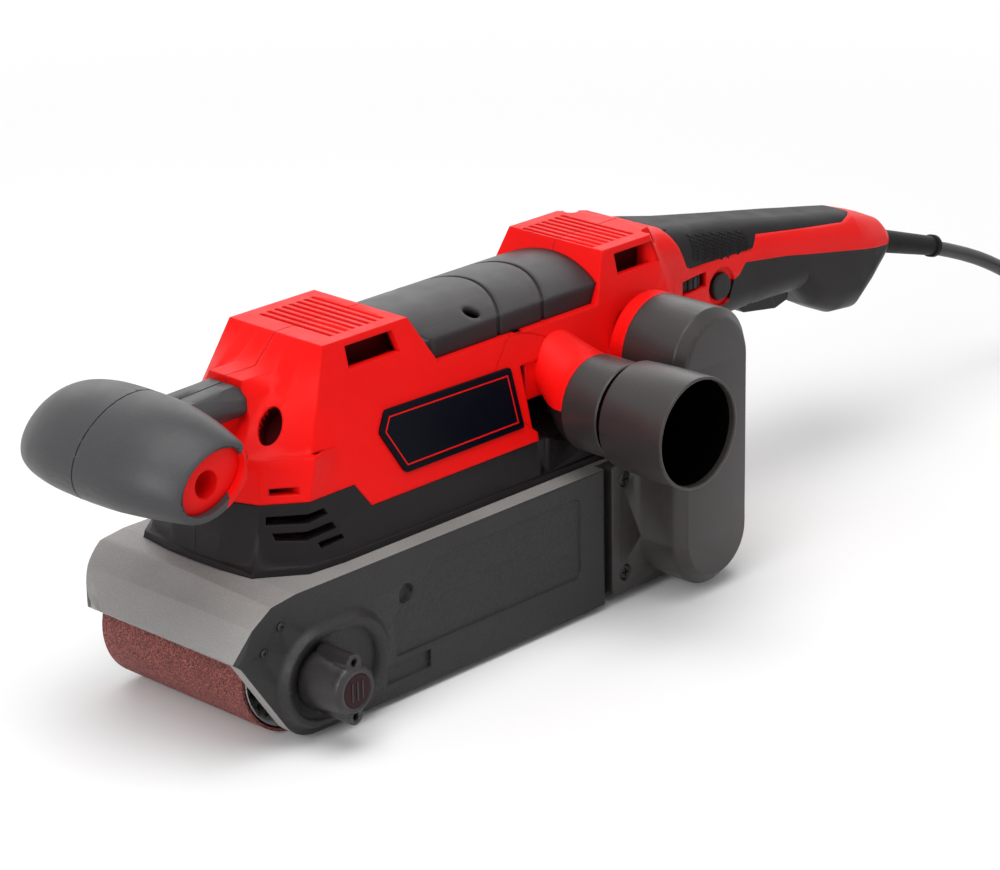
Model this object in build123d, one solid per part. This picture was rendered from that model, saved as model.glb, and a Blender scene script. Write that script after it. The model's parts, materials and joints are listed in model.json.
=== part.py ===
from build123d import *
import os
from math import asin, atan2, ceil, cos, degrees, hypot, pi, radians, sin, sqrt

"""Handheld belt sander for 75 x 533 mm belts. Millimetres.

Origin: centre of the sanding face.  +X runs to the front handle, +Y to the
side with the dust outlet and the drive cover, +Z up.
"""

# ---------------------------------------------------------------- driving sizes
BELT_WIDTH = 75.0
BELT_LENGTH = 533.0
BELT_THICKNESS = 1.0
ROLLER_RADIUS = 23.2
LOOP_RADIUS = ROLLER_RADIUS + BELT_THICKNESS
AXLE_Z = LOOP_RADIUS
ROLLER_X = (BELT_LENGTH - 2 * pi * LOOP_RADIUS) / 4

ROOF_TOP = 57.6
ROOF_UNDER = 52.6
PLATE_OUTER = 50.0
PLATE_INNER = 44.5
REAR_PLATE_OUTER = 45.0
REAR_PLATE_INNER = 39.5
PLATE_REAR_X = -53.0
ROOF_REAR_X = -122.0
OPEN_SIDE_Y = -41.0
CHEEK_SCREWS = [(111.65, 47.8), (119.75, 40.5)]
COVER_SCREWS = [(-65.5, 50.0), (-65.5, 12.0)]
COVER_HOLES = [(-14.5, -20.0), (-14.5, 20.0)]
LEVER_X = 24.0

SPLIT_FRONT_Z = 82.0
SPLIT_SIDE_Z = 73.0
SPLIT_STEP_X = (56.0, 62.0)
LEDGE_Z = 97.0
SADDLE_Z = 112.5
CROWN_Z = 131.0
HUMP_FRONT_X = 63.5
SADDLE_X = (-73.5, 11.5)
HUMP_X = (-81.0, 22.0)
HUMP_REAR_X = -116.4
SIDE_LEAN = 0.2517
CROWN_HALF_WIDTH = 24.2
WALL = 2.6
WINDOW_X = [(28.4, 53.6), (-111.0, -87.0)]
WINDOW_Z = (120.5, 128.6)
HUMP_WELLS = [(-112.0, 20.4), (-112.0, -20.4)]
# air slots in the base and the slit above them, in side view
BASE_SLOTS = [
    [(96.8, 74.8), (84.7, 74.5), (76.2, 75.6), (77.6, 78.1), (84.1, 77.8), (96.4, 77.7)],
    [(95.0, 69.2), (86.5, 68.6), (73.6, 69.8), (75.0, 72.6), (85.5, 71.8), (95.6, 71.9)],
    [(81.2, 64.3), (70.8, 65.5), (71.8, 67.3), (82.3, 66.9)],
]
FRONT_SLIT = [(85.6, 84.8), (94.3, 84.8), (94.0, 87.4), (85.6, 87.4)]

MOTOR_Z = 92.9
CROSS_X = -ROLLER_X
STATOR_X = (22.0, 56.0)
STATOR_RADIUS = 25.5
STATOR_FLAT = 23.0
FRONT_BEARING_X = (78.0, 85.0)
REAR_BEARING_X = (-62.0, -54.0)
COMMUTATOR_X = (STATOR_X[1] + 6.2, STATOR_X[1] + 19.0)
BOSS_RADIUS = 20.9
COVER_BACK_Y = 40.0
COVER_FACE_Y = 69.5
COVER_CHAMFER = 4.4
COVER_WALL = 2.2

GRIP_MIDDLE = (135.6, 108.5)
GRIP_BOW = (-5.3, -4.9)
GRIP_SECTION = (23.8, 16.0)
GRIP_TILT = -25.2
# distance from the seam, share of the bow and share of the section of each ring
GRIP_RINGS = [
    (0.0, 0.0, 1.0), (14.1, 0.02, 0.984), (21.1, 0.075, 0.952), (28.2, 0.22, 0.90), (33.0, 0.40, 0.85),
    (37.0, 0.61, 0.80), (40.0, 0.815, 0.756), (41.6, 0.94, 0.715), (42.3, 1.0, 0.655),
]
SKIN = 3.0
HUB_Y = 39.4
HUB_BOW = 0.77
HUB_SECTION = (14.6, 9.8)
HUB_HOLE_RADIUS = 5.0
SKIN_REAR_X = 116.5
ARM_HALF_WIDTH = 10.6
NECK_HALF_WIDTH = 7.5

HANDLE_SKIN = 2.6
# distance along, top, underside, half width and corner radius of each section
HANDLE_SECTIONS = [
    (-112, 129.6, 82, 21.5, 9),
    (-130, 126.4, 80, 20.0, 10),
    (-146, 123.4, 80, 18.0, 11),
    (-180, 117.2, 80, 17.0, 11),
    (-215, 110.8, 79, 17.0, 11),
    (-224, 109.1, 70, 16.6, 11),
    (-238, 106.6, 63, 16.0, 11),
    (-251, 104.2, 61.5, 15.4, 11),
    (-262, 100.7, 68, 14.0, 11),
    (-274, 95.5, 75, 10.5, 9),
    (-281, 90, 77.5, 6.2, 5.6),
]
TRIGGER_PIVOT = (-181.5, 86.0)
LOCK_CENTRE = (-158.4, 96.3)
DIAL_CENTRE = (-140.5, 6.4)
RELIEF_START = Vector(-280, 0, 83)
RELIEF_AXIS = Vector(-38.7, 0, -11.6).normalized()

DUCT_X = -51.0
DUCT_Z = 84.5
DUCT_START_Y = 47.5
RIM_Y = 98.5
SLEEVE_Y = 67.5
# centre, heading and outer radius of the dust elbow's three sections
ELBOW_START = ((-26.7, 20.5, 97.6), (-0.5535, 0.7548, -0.3522), 17.0)
ELBOW_MIDDLE = ((-42.5, 36.5, 88.6), (-0.44, 0.86, -0.29), 17.6)
ELBOW_END = ((DUCT_X, DUCT_START_Y, DUCT_Z), (0, 1, 0), 18.0)
ELBOW_ROOT_Y = 28.0
ELBOW_WALL = 2.2
DUCT_POCKET_X = (-73.0, -30.0)
DUCT_POCKET_TOP = 94.0
DUCT_POCKET_Y = 30.5

SMALL_PULLEY = 7.0
LARGE_PULLEY = 2 * SMALL_PULLEY
RIB_COUNT = 4
RIB_PITCH = 2.34
RIB_START_Y = 52.5
BEVEL_GEAR_TEETH = 36
BEVEL_PINION_TEETH = 9
BEVEL_GEAR_RADIUS = 19.2
BEVEL_PINION_RADIUS = BEVEL_GEAR_RADIUS * BEVEL_PINION_TEETH / BEVEL_GEAR_TEETH

CORD_DIAMETER = 6.4
RUN_ROUTE = [
    (-290, 0, 80.0), (-338, 0, 65.6), (-385, 0, 41.5), (-412, 0, 19.5), (-438, 0, 6.4),
    (-462, 0, 3.2), (-484, 0, 3.2),
]
RELIEF_LENGTH = 42.4
RUN_START = 10.44
FLOOR_Z = CORD_DIAMETER / 2
COIL_X = -490.4
COIL_RADIUS = 43.5
HALF_STEP = CORD_DIAMETER / 2 + 0.25
LAYER_RISE = 2 * HALF_STEP
HALF_TURNS_IN_LAYER = (5, 4, 4, 4)
LEAD = CORD_DIAMETER


# ---------------------------------------------------------------- small helpers
def xz_plane(y):
    return Plane(origin=(0, y, 0), x_dir=(1, 0, 0), z_dir=(0, -1, 0))


def along_y(sketch, y0, y1):
    return extrude(xz_plane(y1) * sketch, amount=y1 - y0)


def along_z(sketch, z0, z1):
    return extrude(Plane.XY.offset(z0) * sketch, amount=z1 - z0)


def along_x(sketch, x0, x1):
    plane = Plane(origin=(x0, 0, 0), x_dir=(0, 1, 0), z_dir=(1, 0, 0))
    return extrude(plane * sketch, amount=x1 - x0)


def block(x0, x1, y0, y1, z0, z1):
    return Pos((x0 + x1) / 2, (y0 + y1) / 2, (z0 + z1) / 2) * Box(x1 - x0, y1 - y0, z1 - z0)


def rod_x(y, z, radius, x0, x1):
    return along_x(Pos(y, z) * Circle(radius), x0, x1)


def rod_y(x, z, radius, y0, y1):
    return along_y(Pos(x, z) * Circle(radius), y0, y1)


def rod_z(x, y, radius, z0, z1):
    return along_z(Pos(x, y) * Circle(radius), z0, z1)


def tube_x(y, z, outer, inner, x0, x1):
    return rod_x(y, z, outer, x0, x1) - rod_x(y, z, inner, x0 - 1, x1 + 1)


def tube_y(x, z, outer, inner, y0, y1):
    return rod_y(x, z, outer, y0, y1) - rod_y(x, z, inner, y0 - 1, y1 + 1)


def polygon(*points):
    """Closed outline that always faces up, whichever way its points run."""
    turn = sum(a[0] * b[1] - a[1] * b[0] for a, b in zip(points, points[1:] + points[:1]))
    return Polygon(*(points if turn > 0 else points[::-1]), align=None)


def soft_polygon(radius, *points):
    shape = polygon(*points)
    return fillet(shape.vertices(), radius)


def stadium(x0, z0, x1, z1, radius):
    """Two equal circles joined by their outer tangents."""
    angle = atan2(z1 - z0, x1 - x0)
    length = hypot(x1 - x0, z1 - z0)
    bar = Pos((x0 + x1) / 2, (z0 + z1) / 2) * Rot(0, 0, degrees(angle)) * Rectangle(length, 2 * radius)
    return bar + Pos(x0, z0) * Circle(radius) + Pos(x1, z1) * Circle(radius)


def left(shape):
    return shape & block(-600, 400, 0, 300, -100, 400)


def right(shape):
    return shape & block(-600, 400, -300, 0, -100, 400)


# ---------------------------------------------------------------- sanding unit
def loop_outline(radius):
    return stadium(-ROLLER_X, AXLE_Z, ROLLER_X, AXLE_Z, radius)


def sanding_belt():
    half = BELT_WIDTH / 2
    return along_y(loop_outline(LOOP_RADIUS) - loop_outline(ROLLER_RADIUS), -half, half)


def roof_outline():
    """Side view of the cast roof with its nose and its rear skirt."""
    return polygon(
        (-129, 38), (-127, 48), (-119, ROOF_TOP), (104, ROOF_TOP), (115.5, 56.2),
        (124.5, 50.6), (134, 40.8), (130.4, 38), (122, 47), (113.5, 51.6),
        (103, ROOF_UNDER), (-117, ROOF_UNDER), (-123.5, 46), (-125.5, 38),
    )


def side_outline():
    """Left cheek of the frame, round below and behind the front roller."""
    lower = polygon((PLATE_REAR_X, 2.7), (106, 2.7), (130.4, 38), (134, 40.8), (124.5, 50.6), (115.5, 56.2),
                    (104, ROOF_TOP), (PLATE_REAR_X, ROOF_TOP))
    toe = [v for v in lower.vertices() if abs(v.X - 106) < 0.1 or abs(v.Y - 2.7) < 0.1 and v.X > 0]
    return fillet(toe, 17)


def frame():
    cheek = along_y(side_outline(), PLATE_INNER, PLATE_OUTER)
    roof = along_y(roof_outline(), OPEN_SIDE_Y, PLATE_OUTER)
    corner = Pos(134, OPEN_SIDE_Y) * Rectangle(44, 44)
    round_corner = Pos(134 - 22, OPEN_SIDE_Y + 22) * Circle(22)
    roof -= along_z(corner - round_corner, 30, 70)
    roof -= block(-140, PLATE_REAR_X, REAR_PLATE_OUTER, 60, 0, 70)
    rear_plate = along_y(
        soft_polygon(8, (PLATE_REAR_X + 1, 4), (PLATE_REAR_X + 1, ROOF_TOP), (-121, ROOF_TOP), (-121, 4)),
        REAR_PLATE_INNER, REAR_PLATE_OUTER,
    )
    web = block(PLATE_REAR_X, -40, REAR_PLATE_INNER, PLATE_OUTER, 4, ROOF_TOP)
    core = block(-64, 48, -44, PLATE_INNER, 4, 42)
    core -= block(-56, -4, -36, 34, 9, 50)
    core -= block(4, 60, -12.4, 12.4, 16.6, 31.8)
    core -= block(18, 46, -50, -12, 20, 28.4)
    core -= block(4, 48, 18, 38, 9, 50)
    core -= block(4, 48, -38, -18, 33, 50)
    rear_arm = along_y(stadium(-60, AXLE_Z, -ROLLER_X, AXLE_Z, 15), -44, -39)
    body = cheek + roof + rear_plate + web + core + rear_arm
    body -= rod_y(-ROLLER_X, AXLE_Z, 11.0, -43.0, -38)
    body -= rod_y(-ROLLER_X, AXLE_Z, 11.0, 38, 44)
    body -= rod_y(-ROLLER_X, AXLE_Z, 6.0, 43, 46)
    body += tracking_boss()
    body += lever_bracket()
    body -= rod_y(ROLLER_X, AXLE_Z, 5.05, 40, 60)
    body -= rod_y(51.2, 40.9, 3.8, 47.5, 51)
    body -= block(40, 62, 48.8, 51, 8.5, 15.5)
    for x, z in CHEEK_SCREWS:
        body -= rod_y(x, z, 1.05, 46, 51)
    body -= along_y(soft_polygon(2.5, (-40, 18), (-40, 50), (36, 50), (58, 34), (58, 18)), 49.3, 51)
    return body


def tracking_boss():
    outer = loft([
        xz_plane(PLATE_OUTER - 0.5) * stadium(80, AXLE_Z, ROLLER_X, AXLE_Z, 20.2),
        xz_plane(54.0) * stadium(82, AXLE_Z, ROLLER_X, AXLE_Z, 17.6),
    ])
    return outer - along_y(stadium(84, AXLE_Z, ROLLER_X, AXLE_Z, 15.2), 51.6, 56)


def platen():
    return block(-66, 66, -38, 38, 2.6, 4.0)


def graphite_pad():
    return block(-64, 64, -37.5, 37.5, 1.1, 2.6)


def roller(x, bore, pocket):
    half = BELT_WIDTH / 2
    body = rod_y(x, AXLE_Z, ROLLER_RADIUS - 0.15, -half, half)
    body -= rod_y(x, AXLE_Z, bore, -half - 1, half + 1)
    for y0, y1 in ((-half - 1, -half + pocket), (half - pocket, half + 1)):
        body -= rod_y(x, AXLE_Z, 11.0, y0, y1)
    return chamfer(body.edges().filter_by(GeomType.CIRCLE).filter_by(lambda e: e.radius > 20), 0.8)


def bearing_y(x, z, outer, inner, y0, y1):
    body = tube_y(x, z, outer, inner, y0, y1)
    groove = tube_y(x, z, outer - 1.9, inner + 1.9, y0 - 0.1, y0 + 0.6)
    return body - groove - Pos(0, y1 - y0 - 0.5, 0) * groove


def bearing_x(y, z, outer, inner, x0, x1):
    body = tube_x(y, z, outer, inner, x0, x1)
    groove = tube_x(y, z, outer - 1.9, inner + 1.9, x0 - 0.1, x0 + 0.6)
    return body - groove - Pos(x1 - x0 - 0.5, 0, 0) * groove


def front_roller():
    return roller(ROLLER_X, 7.0, 7.0)


def front_roller_bearings():
    return bearing_y(ROLLER_X, AXLE_Z, 11.0, 4.03, -37.5, -30.5) \
        + bearing_y(ROLLER_X, AXLE_Z, 11.0, 4.03, 30.5, 37.5)


def front_roller_axle():
    body = rod_y(ROLLER_X, AXLE_Z, 4.0, -41.4, 41.4)
    head = rod_y(ROLLER_X, AXLE_Z, 7.5, 41.4, 43.9)
    slot = block(ROLLER_X - 4.3, ROLLER_X + 9, 41.8, 45, AXLE_Z - 4.3, AXLE_Z + 4.3)
    return body + head - slot


def tension_fork():
    arm = stadium(70, AXLE_Z, ROLLER_X, AXLE_Z, 12)
    left_arm = along_y(arm, 38.3, 41.3) - rod_y(ROLLER_X, AXLE_Z, 4.0, 38, 42)
    right_arm = along_y(arm, -41.5, -38.3) - rod_y(ROLLER_X, AXLE_Z, 4.0, -42, -38)
    bridge = block(57, 62, -41.5, 41.3, 12.2, 36.2)
    stem = block(28, 58, -12, 12, 17, 31.4)
    arm_link = block(30, 36, -43.2, -11, 20.6, 27.8)
    return left_arm + right_arm + bridge + stem + arm_link


def tension_spring():
    pitch, height, radius, wire = 3.6, 22.2, 5.0, 0.8
    helix = Helix(pitch=pitch, height=height, radius=radius)
    helix = Pos(4.9, 0, AXLE_Z) * Rot(0, 90, 0) * helix
    section = Plane(origin=helix @ 0, z_dir=helix % 0) * Circle(wire)
    return sweep(section, path=helix, is_frenet=True)


def tension_lever():
    hub = rod_z(LEVER_X, -48.0, 3.9, 19.5, 28.9)
    blade = along_z(
        soft_polygon(1.4, (LEVER_X + 3, -51.6), (LEVER_X + 3, -45.2), (LEVER_X - 50, -45.2),
                     (LEVER_X - 55, -49.5), (LEVER_X - 50, -51.6)), 19.5, 28.9)
    return hub + blade - rod_z(LEVER_X, -48.0, 2.03, 10, 40)


def lever_pin():
    return rod_z(LEVER_X, -48.0, 2.0, 15.4, 33.0)


def lever_bracket():
    cheeks = along_z(stadium(LEVER_X, -42, LEVER_X, -48, 4.6), 16.4, 19.2) \
        + along_z(stadium(LEVER_X, -42, LEVER_X, -48, 4.6), 29.2, 32.0)
    cheeks -= rod_z(LEVER_X, -48.0, 2.0, 10, 40)
    return cheeks & block(0, 60, -60, -43.9, 0, 60)


def tracking_knob():
    body = loft([
        xz_plane(52.2) * (Pos(ROLLER_X, AXLE_Z) * Circle(11.6)),
        xz_plane(66.8) * (Pos(ROLLER_X, AXLE_Z) * Circle(9.4)),
    ])
    body += rod_y(ROLLER_X, AXLE_Z, 9.4, 66.8, 68.4)
    face = loft([
        xz_plane(68.4) * (Pos(ROLLER_X, AXLE_Z) * Circle(9.4)),
        xz_plane(70.0) * (Pos(ROLLER_X, AXLE_Z) * Circle(7.8)),
    ])
    body += face - rod_y(ROLLER_X, AXLE_Z, 6.4, 69.4, 71)
    for side in (-1, 1):
        lug = stadium(ROLLER_X, AXLE_Z + side * 7, ROLLER_X, AXLE_Z + side * 9.9, 3.4)
        body += along_y(lug, 53.0, 68.6)
        body -= rod_y(ROLLER_X, AXLE_Z + side * 10.2, 1.3, 62, 70)
    return body - rod_y(ROLLER_X, AXLE_Z, 4.0, 50, 64)


def tracking_cam():
    shaft = rod_y(ROLLER_X, AXLE_Z, 5.0, 44.4, 52.0) + rod_y(ROLLER_X, AXLE_Z, 4.0, 51.5, 64.0)
    pin = rod_y(ROLLER_X, AXLE_Z + 1.5, 2.5, 41.9, 44.5)
    return shaft + pin


# ---------------------------------------------------------------- drive
def drive_roller():
    half = BELT_WIDTH / 2
    body = rod_y(-ROLLER_X, AXLE_Z, ROLLER_RADIUS - 0.15, -half, half)
    body -= rod_y(-ROLLER_X, AXLE_Z, 5.0, -half - 1, half + 1)
    for y0 in (-half - 1, half - 5):
        body -= tube_y(-ROLLER_X, AXLE_Z, 18.5, 9.5, y0, y0 + 6)
    return body


def drive_roller_shaft():
    return rod_y(-ROLLER_X, AXLE_Z, 5.0, -42.6, 61.5)


def drive_roller_bearings():
    return bearing_y(-ROLLER_X, AXLE_Z, 11.0, 5.03, -43.0, -39.2) \
        + bearing_y(-ROLLER_X, AXLE_Z, 11.0, 5.03, 39.6, 43.0)


def belt_outline(offset):
    """Tight loop round both pulleys, offset outwards from their rims."""
    big, small = LARGE_PULLEY + offset, SMALL_PULLEY + offset
    gap = MOTOR_Z - AXLE_Z
    tilt = asin((big - small) / gap)
    low, high = Vector(big * cos(tilt), big * sin(tilt)), Vector(small * cos(tilt), gap + small * sin(tilt))
    middle = polygon((low.X, low.Y), (high.X, high.Y), (-high.X, high.Y), (-low.X, low.Y))
    return Pos(-ROLLER_X, AXLE_Z) * (middle + Circle(big) + Pos(0, gap) * Circle(small))


def rib_places():
    return [RIB_START_Y + i * RIB_PITCH for i in range(RIB_COUNT)]


def ribbed_belt():
    band = along_y(belt_outline(1.6) - belt_outline(0.5), RIB_START_Y - 1.2, rib_places()[-1] + 1.2)
    for y in rib_places():
        band += along_y(belt_outline(0.6) - belt_outline(-1.0), y - 0.5, y + 0.5)
    return band


def pulley(z, radius, bore):
    body = rod_y(-ROLLER_X, z, radius, RIB_START_Y - 2.4, rib_places()[-1] + 2.4)
    for y in rib_places():
        body -= tube_y(-ROLLER_X, z, radius + 1, radius - 1.5, y - 0.7, y + 0.7)
    return body - rod_y(-ROLLER_X, z, bore, 40, 70)


def large_pulley():
    return pulley(AXLE_Z, LARGE_PULLEY, 5.0)


def small_pulley():
    return pulley(MOTOR_Z, SMALL_PULLEY, 4.0)


def cover_outline(shrink=0.0):
    return stadium(CROSS_X, MOTOR_Z, CROSS_X, AXLE_Z, BOSS_RADIUS - shrink)


def drive_cover():
    body = along_y(cover_outline(), COVER_BACK_Y, COVER_FACE_Y - COVER_CHAMFER)
    body += loft([
        xz_plane(COVER_FACE_Y - COVER_CHAMFER) * cover_outline(),
        xz_plane(COVER_FACE_Y) * cover_outline(COVER_CHAMFER),
    ])
    flange = soft_polygon(3, (-58, 4), (-58, ROOF_TOP), (-121, ROOF_TOP), (-121, 4))
    body += along_y(flange, REAR_PLATE_OUTER, PLATE_OUTER - 0.4)
    body -= along_y(cover_outline(COVER_WALL), 30, COVER_FACE_Y - COVER_WALL - 1.2)
    body -= block(-140, -40, 30, REAR_PLATE_OUTER + 0.02, -5, ROOF_TOP + 0.1)
    for x, z in COVER_SCREWS:
        body -= rod_y(x, z, 1.8, 44, 52)
        body -= rod_y(x, z, 3.3, 48.0, 52)
    return body


def frame_screws():
    screws = [rod_y(x, z, 1.7, 45.05, 48.0) + rod_y(x, z, 3.1, 48.0, 49.5) for x, z in COVER_SCREWS]
    head_y = PLATE_OUTER + 0.9
    for x, z in CHEEK_SCREWS:
        screws.append(rod_y(x, z, 1.0, 46.5, PLATE_OUTER) + rod_y(x, z, 1.6, PLATE_OUTER, head_y))
    return Compound(children=screws)


def cross_shaft():
    return rod_y(CROSS_X, MOTOR_Z, 4.0, -26.5, 61.5)


def cross_shaft_bearings():
    return bearing_y(CROSS_X, MOTOR_Z, 10.0, 4.03, -26.0, -20.0) \
        + bearing_y(CROSS_X, MOTOR_Z, 10.0, 4.03, 20.0, 26.0)


def bevel_gear():
    """Crown wheel on the cross shaft, its toothed cone facing the pinion."""
    rim, inner = BEVEL_GEAR_RADIUS + 0.8, BEVEL_GEAR_RADIUS - 5.0
    slope = BEVEL_PINION_RADIUS / BEVEL_GEAR_RADIUS
    profile = polygon(
        (4.0, 19.6), (8.5, 19.6), (8.5, 11.0), (rim, 9.4), (rim, rim * slope + 0.15),
        (inner, inner * slope + 0.15), (inner - 1.0, 6.0), (4.0, 6.0))
    body = Pos(CROSS_X, 0, MOTOR_Z) * revolve(Plane.XY * profile, axis=Axis.Y)
    for i in range(BEVEL_GEAR_TEETH):
        slot = Pos(inner + 3.4, 0, 0) * Box(8.0, 2 * inner * slope + 3.6, 1.3)
        body -= Pos(CROSS_X, 0, MOTOR_Z) * Rot(0, i * 360 / BEVEL_GEAR_TEETH, 0) * slot
    return body


def bevel_pinion():
    heel = CROSS_X + BEVEL_GEAR_RADIUS
    slope = BEVEL_PINION_RADIUS / BEVEL_GEAR_RADIUS
    toe = BEVEL_GEAR_RADIUS - 4.6
    profile = polygon(
        (toe, 0), (toe, toe * slope - 0.15), (BEVEL_GEAR_RADIUS, BEVEL_PINION_RADIUS - 0.15),
        (BEVEL_GEAR_RADIUS + 7, BEVEL_PINION_RADIUS - 0.15), (BEVEL_GEAR_RADIUS + 7, 0))
    body = Pos(CROSS_X, 0, MOTOR_Z) * revolve(Plane.XY * profile, axis=Axis.X)
    for i in range(BEVEL_PINION_TEETH):
        slot = Pos(heel - 1.0, 0, MOTOR_Z) * Rot(i * 360 / BEVEL_PINION_TEETH, 0, 0) \
            * Pos(0, 0, BEVEL_PINION_RADIUS) * Box(9.0, 1.3, 2.4)
        body -= slot
    return body - rod_x(0, MOTOR_Z, 2.5, heel - 10, heel + 10)


# ---------------------------------------------------------------- motor
def stator_core():
    x0, x1 = STATOR_X
    body = tube_x(0, MOTOR_Z, STATOR_RADIUS, 16.2, x0, x1)
    body &= block(x0 - 1, x1 + 1, -STATOR_FLAT, STATOR_FLAT, MOTOR_Z - 40, MOTOR_Z + 40)
    for side in (-1, 1):
        body -= along_x(Pos(0, MOTOR_Z + side * 18.9) * Rectangle(20, 3.4), x0 - 1, x1 + 1)
    return body


def field_windings():
    x0, x1 = STATOR_X
    ends = ((x0 - 5.0, x0 - 0.1), (x1 + 0.1, x1 + 6.0))
    return Compound(children=[tube_x(0, MOTOR_Z, 22.3, 17.0, a, b) for a, b in ends])


def armature_shaft():
    heel = CROSS_X + BEVEL_GEAR_RADIUS
    body = rod_x(0, MOTOR_Z, 2.5, heel - 4.4, heel + 7.2)
    return body + rod_x(0, MOTOR_Z, 4.0, heel + 7.2, FRONT_BEARING_X[1] + 2)


def armature_core():
    slots = [Rot(0, 0, i * 30) * (Pos(12.8, 0) * Rectangle(7.0, 1.6)) for i in range(12)]
    outline = Pos(0, MOTOR_Z) * (Circle(15.5) - (Sketch() + slots))
    core = along_x(outline, STATOR_X[0] + 1, STATOR_X[1] - 1)
    return core - rod_x(0, MOTOR_Z, 4.0, 0, 90)


def armature_winding():
    x0, x1 = STATOR_X
    ends = ((x0 - 7.5, x0 + 0.95), (x1 - 0.95, x1 + 6.0))
    return Compound(children=[tube_x(0, MOTOR_Z, 13.2, 4.0, a, b) for a, b in ends])


def commutator():
    slots = [Rot(0, 0, i * 15) * (Pos(10.6, 0) * Rectangle(1.6, 0.6)) for i in range(24)]
    shape = Pos(0, MOTOR_Z) * (Circle(11.0) - (Sketch() + slots))
    return along_x(shape, *COMMUTATOR_X) - rod_x(0, MOTOR_Z, 4.0, 40, 90)


def cooling_fan():
    disc = rod_x(0, MOTOR_Z, 25.5, -23.5, -21.5)
    hub = rod_x(0, MOTOR_Z, 8.0, -38, -21.5)
    blades = Sketch()
    for i in range(9):
        blade = Pos(15.0, 3.2) * Rot(0, 0, 22) * Rectangle(19, 1.6)
        blades += Rot(0, 0, i * 40) * blade
    vanes = along_x(Pos(0, MOTOR_Z) * (blades & Circle(25.5)), -37, -23.5)
    return disc + hub + vanes - rod_x(0, MOTOR_Z, 4.0, -50, 0)


def motor_bearings():
    return bearing_x(0, MOTOR_Z, 9.5, 4.03, *FRONT_BEARING_X) \
        + bearing_x(0, MOTOR_Z, 11.0, 4.03, *REAR_BEARING_X)


def brush_holders():
    middle = sum(COMMUTATOR_X) / 2
    parts = []
    for side in (-1, 1):
        y0, y1 = sorted((side * 12.6, side * 28.0))
        outer = block(middle - 4, middle + 4, y0, y1, MOTOR_Z - 5, MOTOR_Z + 5)
        y2, y3 = sorted((side * 11.0, side * 26.5))
        parts.append(outer - block(middle - 2.6, middle + 2.6, y2, y3, MOTOR_Z - 3.4, MOTOR_Z + 3.4))
    return Compound(children=parts)


def carbon_brushes():
    middle = sum(COMMUTATOR_X) / 2
    parts = []
    for side in (-1, 1):
        y0, y1 = sorted((side * 11.3, side * 22.0))
        parts.append(block(middle - 2.5, middle + 2.5, y0, y1, MOTOR_Z - 3.3, MOTOR_Z + 3.3))
    return Compound(children=parts)


# ---------------------------------------------------------------- motor housing
def plan(points, inset, z):
    """Closed plan section, mirrored about the seam, drawn in by inset."""
    half = [(x - inset if x > 0 else x + inset, y - inset if y > inset else 0) for x, y in points]
    other = [(x, -y) for x, y in reversed(half) if y > 0]
    return Plane.XY.offset(z) * polygon(*half, *other)


def side_half_width(z):
    return CROWN_HALF_WIDTH + (CROWN_Z - z) * SIDE_LEAN


def body_volume(inset=0.0, bottom=ROOF_TOP, top=CROWN_Z):
    """Base and housing together as one faceted solid."""
    foot = [(106, 0), (105.6, 12), (103.6, 27.5), (87.5, 39.5), (72, 41), (-106, 41), (-116, 31), (-116, 0)]
    w = side_half_width(SPLIT_SIDE_Z)
    split = [(104.2, 0), (103.8, 13.5), (99.4, 26.4), (86.2, 37), (72, w), (-110, w), (-121, 28), (-121, 0)]
    w = side_half_width(LEDGE_Z)
    ledge = [(100.8, 0), (100.0, 14.5), (94.5, 25), (79.5, 36.2), (66, w), (-115, w), (-128, 22), (-128, 0)]
    brow = [(98.6, 0), (98, 13.4), (92.5, 23.4), (77.5, w), (-115, w), (-128, 22), (-128, 0)]
    w = side_half_width(114)
    waist = [(81, 0), (80.7, 10.7), (78, 19.2), (70.5, w), (-112, w), (-125.5, 19), (-125.5, 0)]
    w = CROWN_HALF_WIDTH
    x = HUMP_FRONT_X
    crown = [(x, 0), (x, 8), (x, 15), (x, w), (-108, w), (HUMP_REAR_X, 16), (HUMP_REAR_X, 0)]
    lower = loft([plan(foot, inset, bottom), plan(split, inset, SPLIT_SIDE_Z), plan(ledge, inset, LEDGE_Z)],
                 ruled=True)
    upper = loft([plan(brow, inset, LEDGE_Z), plan(waist, inset, 114), plan(crown, inset, top)], ruled=True)
    return lower + upper


def base_region():
    x0, x1 = SPLIT_STEP_X
    return along_y(
        polygon((-150, 40), (130, 40), (130, SPLIT_FRONT_Z), (x1, SPLIT_FRONT_Z), (x0, SPLIT_SIDE_Z),
                (-150, SPLIT_SIDE_Z)), -60, 60)


def saddle_prism(grow=0.0):
    rear, front = SADDLE_X
    rear_top, front_top = HUMP_X
    return along_y(
        polygon((rear - grow, SADDLE_Z - grow), (front + grow, SADDLE_Z - grow),
                (front_top + grow + 1.2, CROWN_Z + 2), (rear_top - grow - 1.0, CROWN_Z + 2)), -50, 50)


def duct_pocket():
    """Open bay of the left wall, which the dust elbow stands in."""
    return block(*DUCT_POCKET_X, DUCT_POCKET_Y - 2.65, 60, SPLIT_SIDE_Z - 0.01, DUCT_POCKET_TOP)


def crown_wheel_boss(y0, y1, shrink=0.0):
    return along_y(cover_outline(shrink), y0, y1) & block(-140, -60, y0 - 1, y1 + 1, ROOF_TOP + 0.1, 130)


def elbow_volume(inset=0.0):
    sections = []
    for origin, direction, radius in (ELBOW_START, ELBOW_MIDDLE, ELBOW_END):
        sections.append(Plane(origin=origin, x_dir=(0, 0, 1), z_dir=direction) * Circle(radius - inset))
    return loft(sections)


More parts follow.
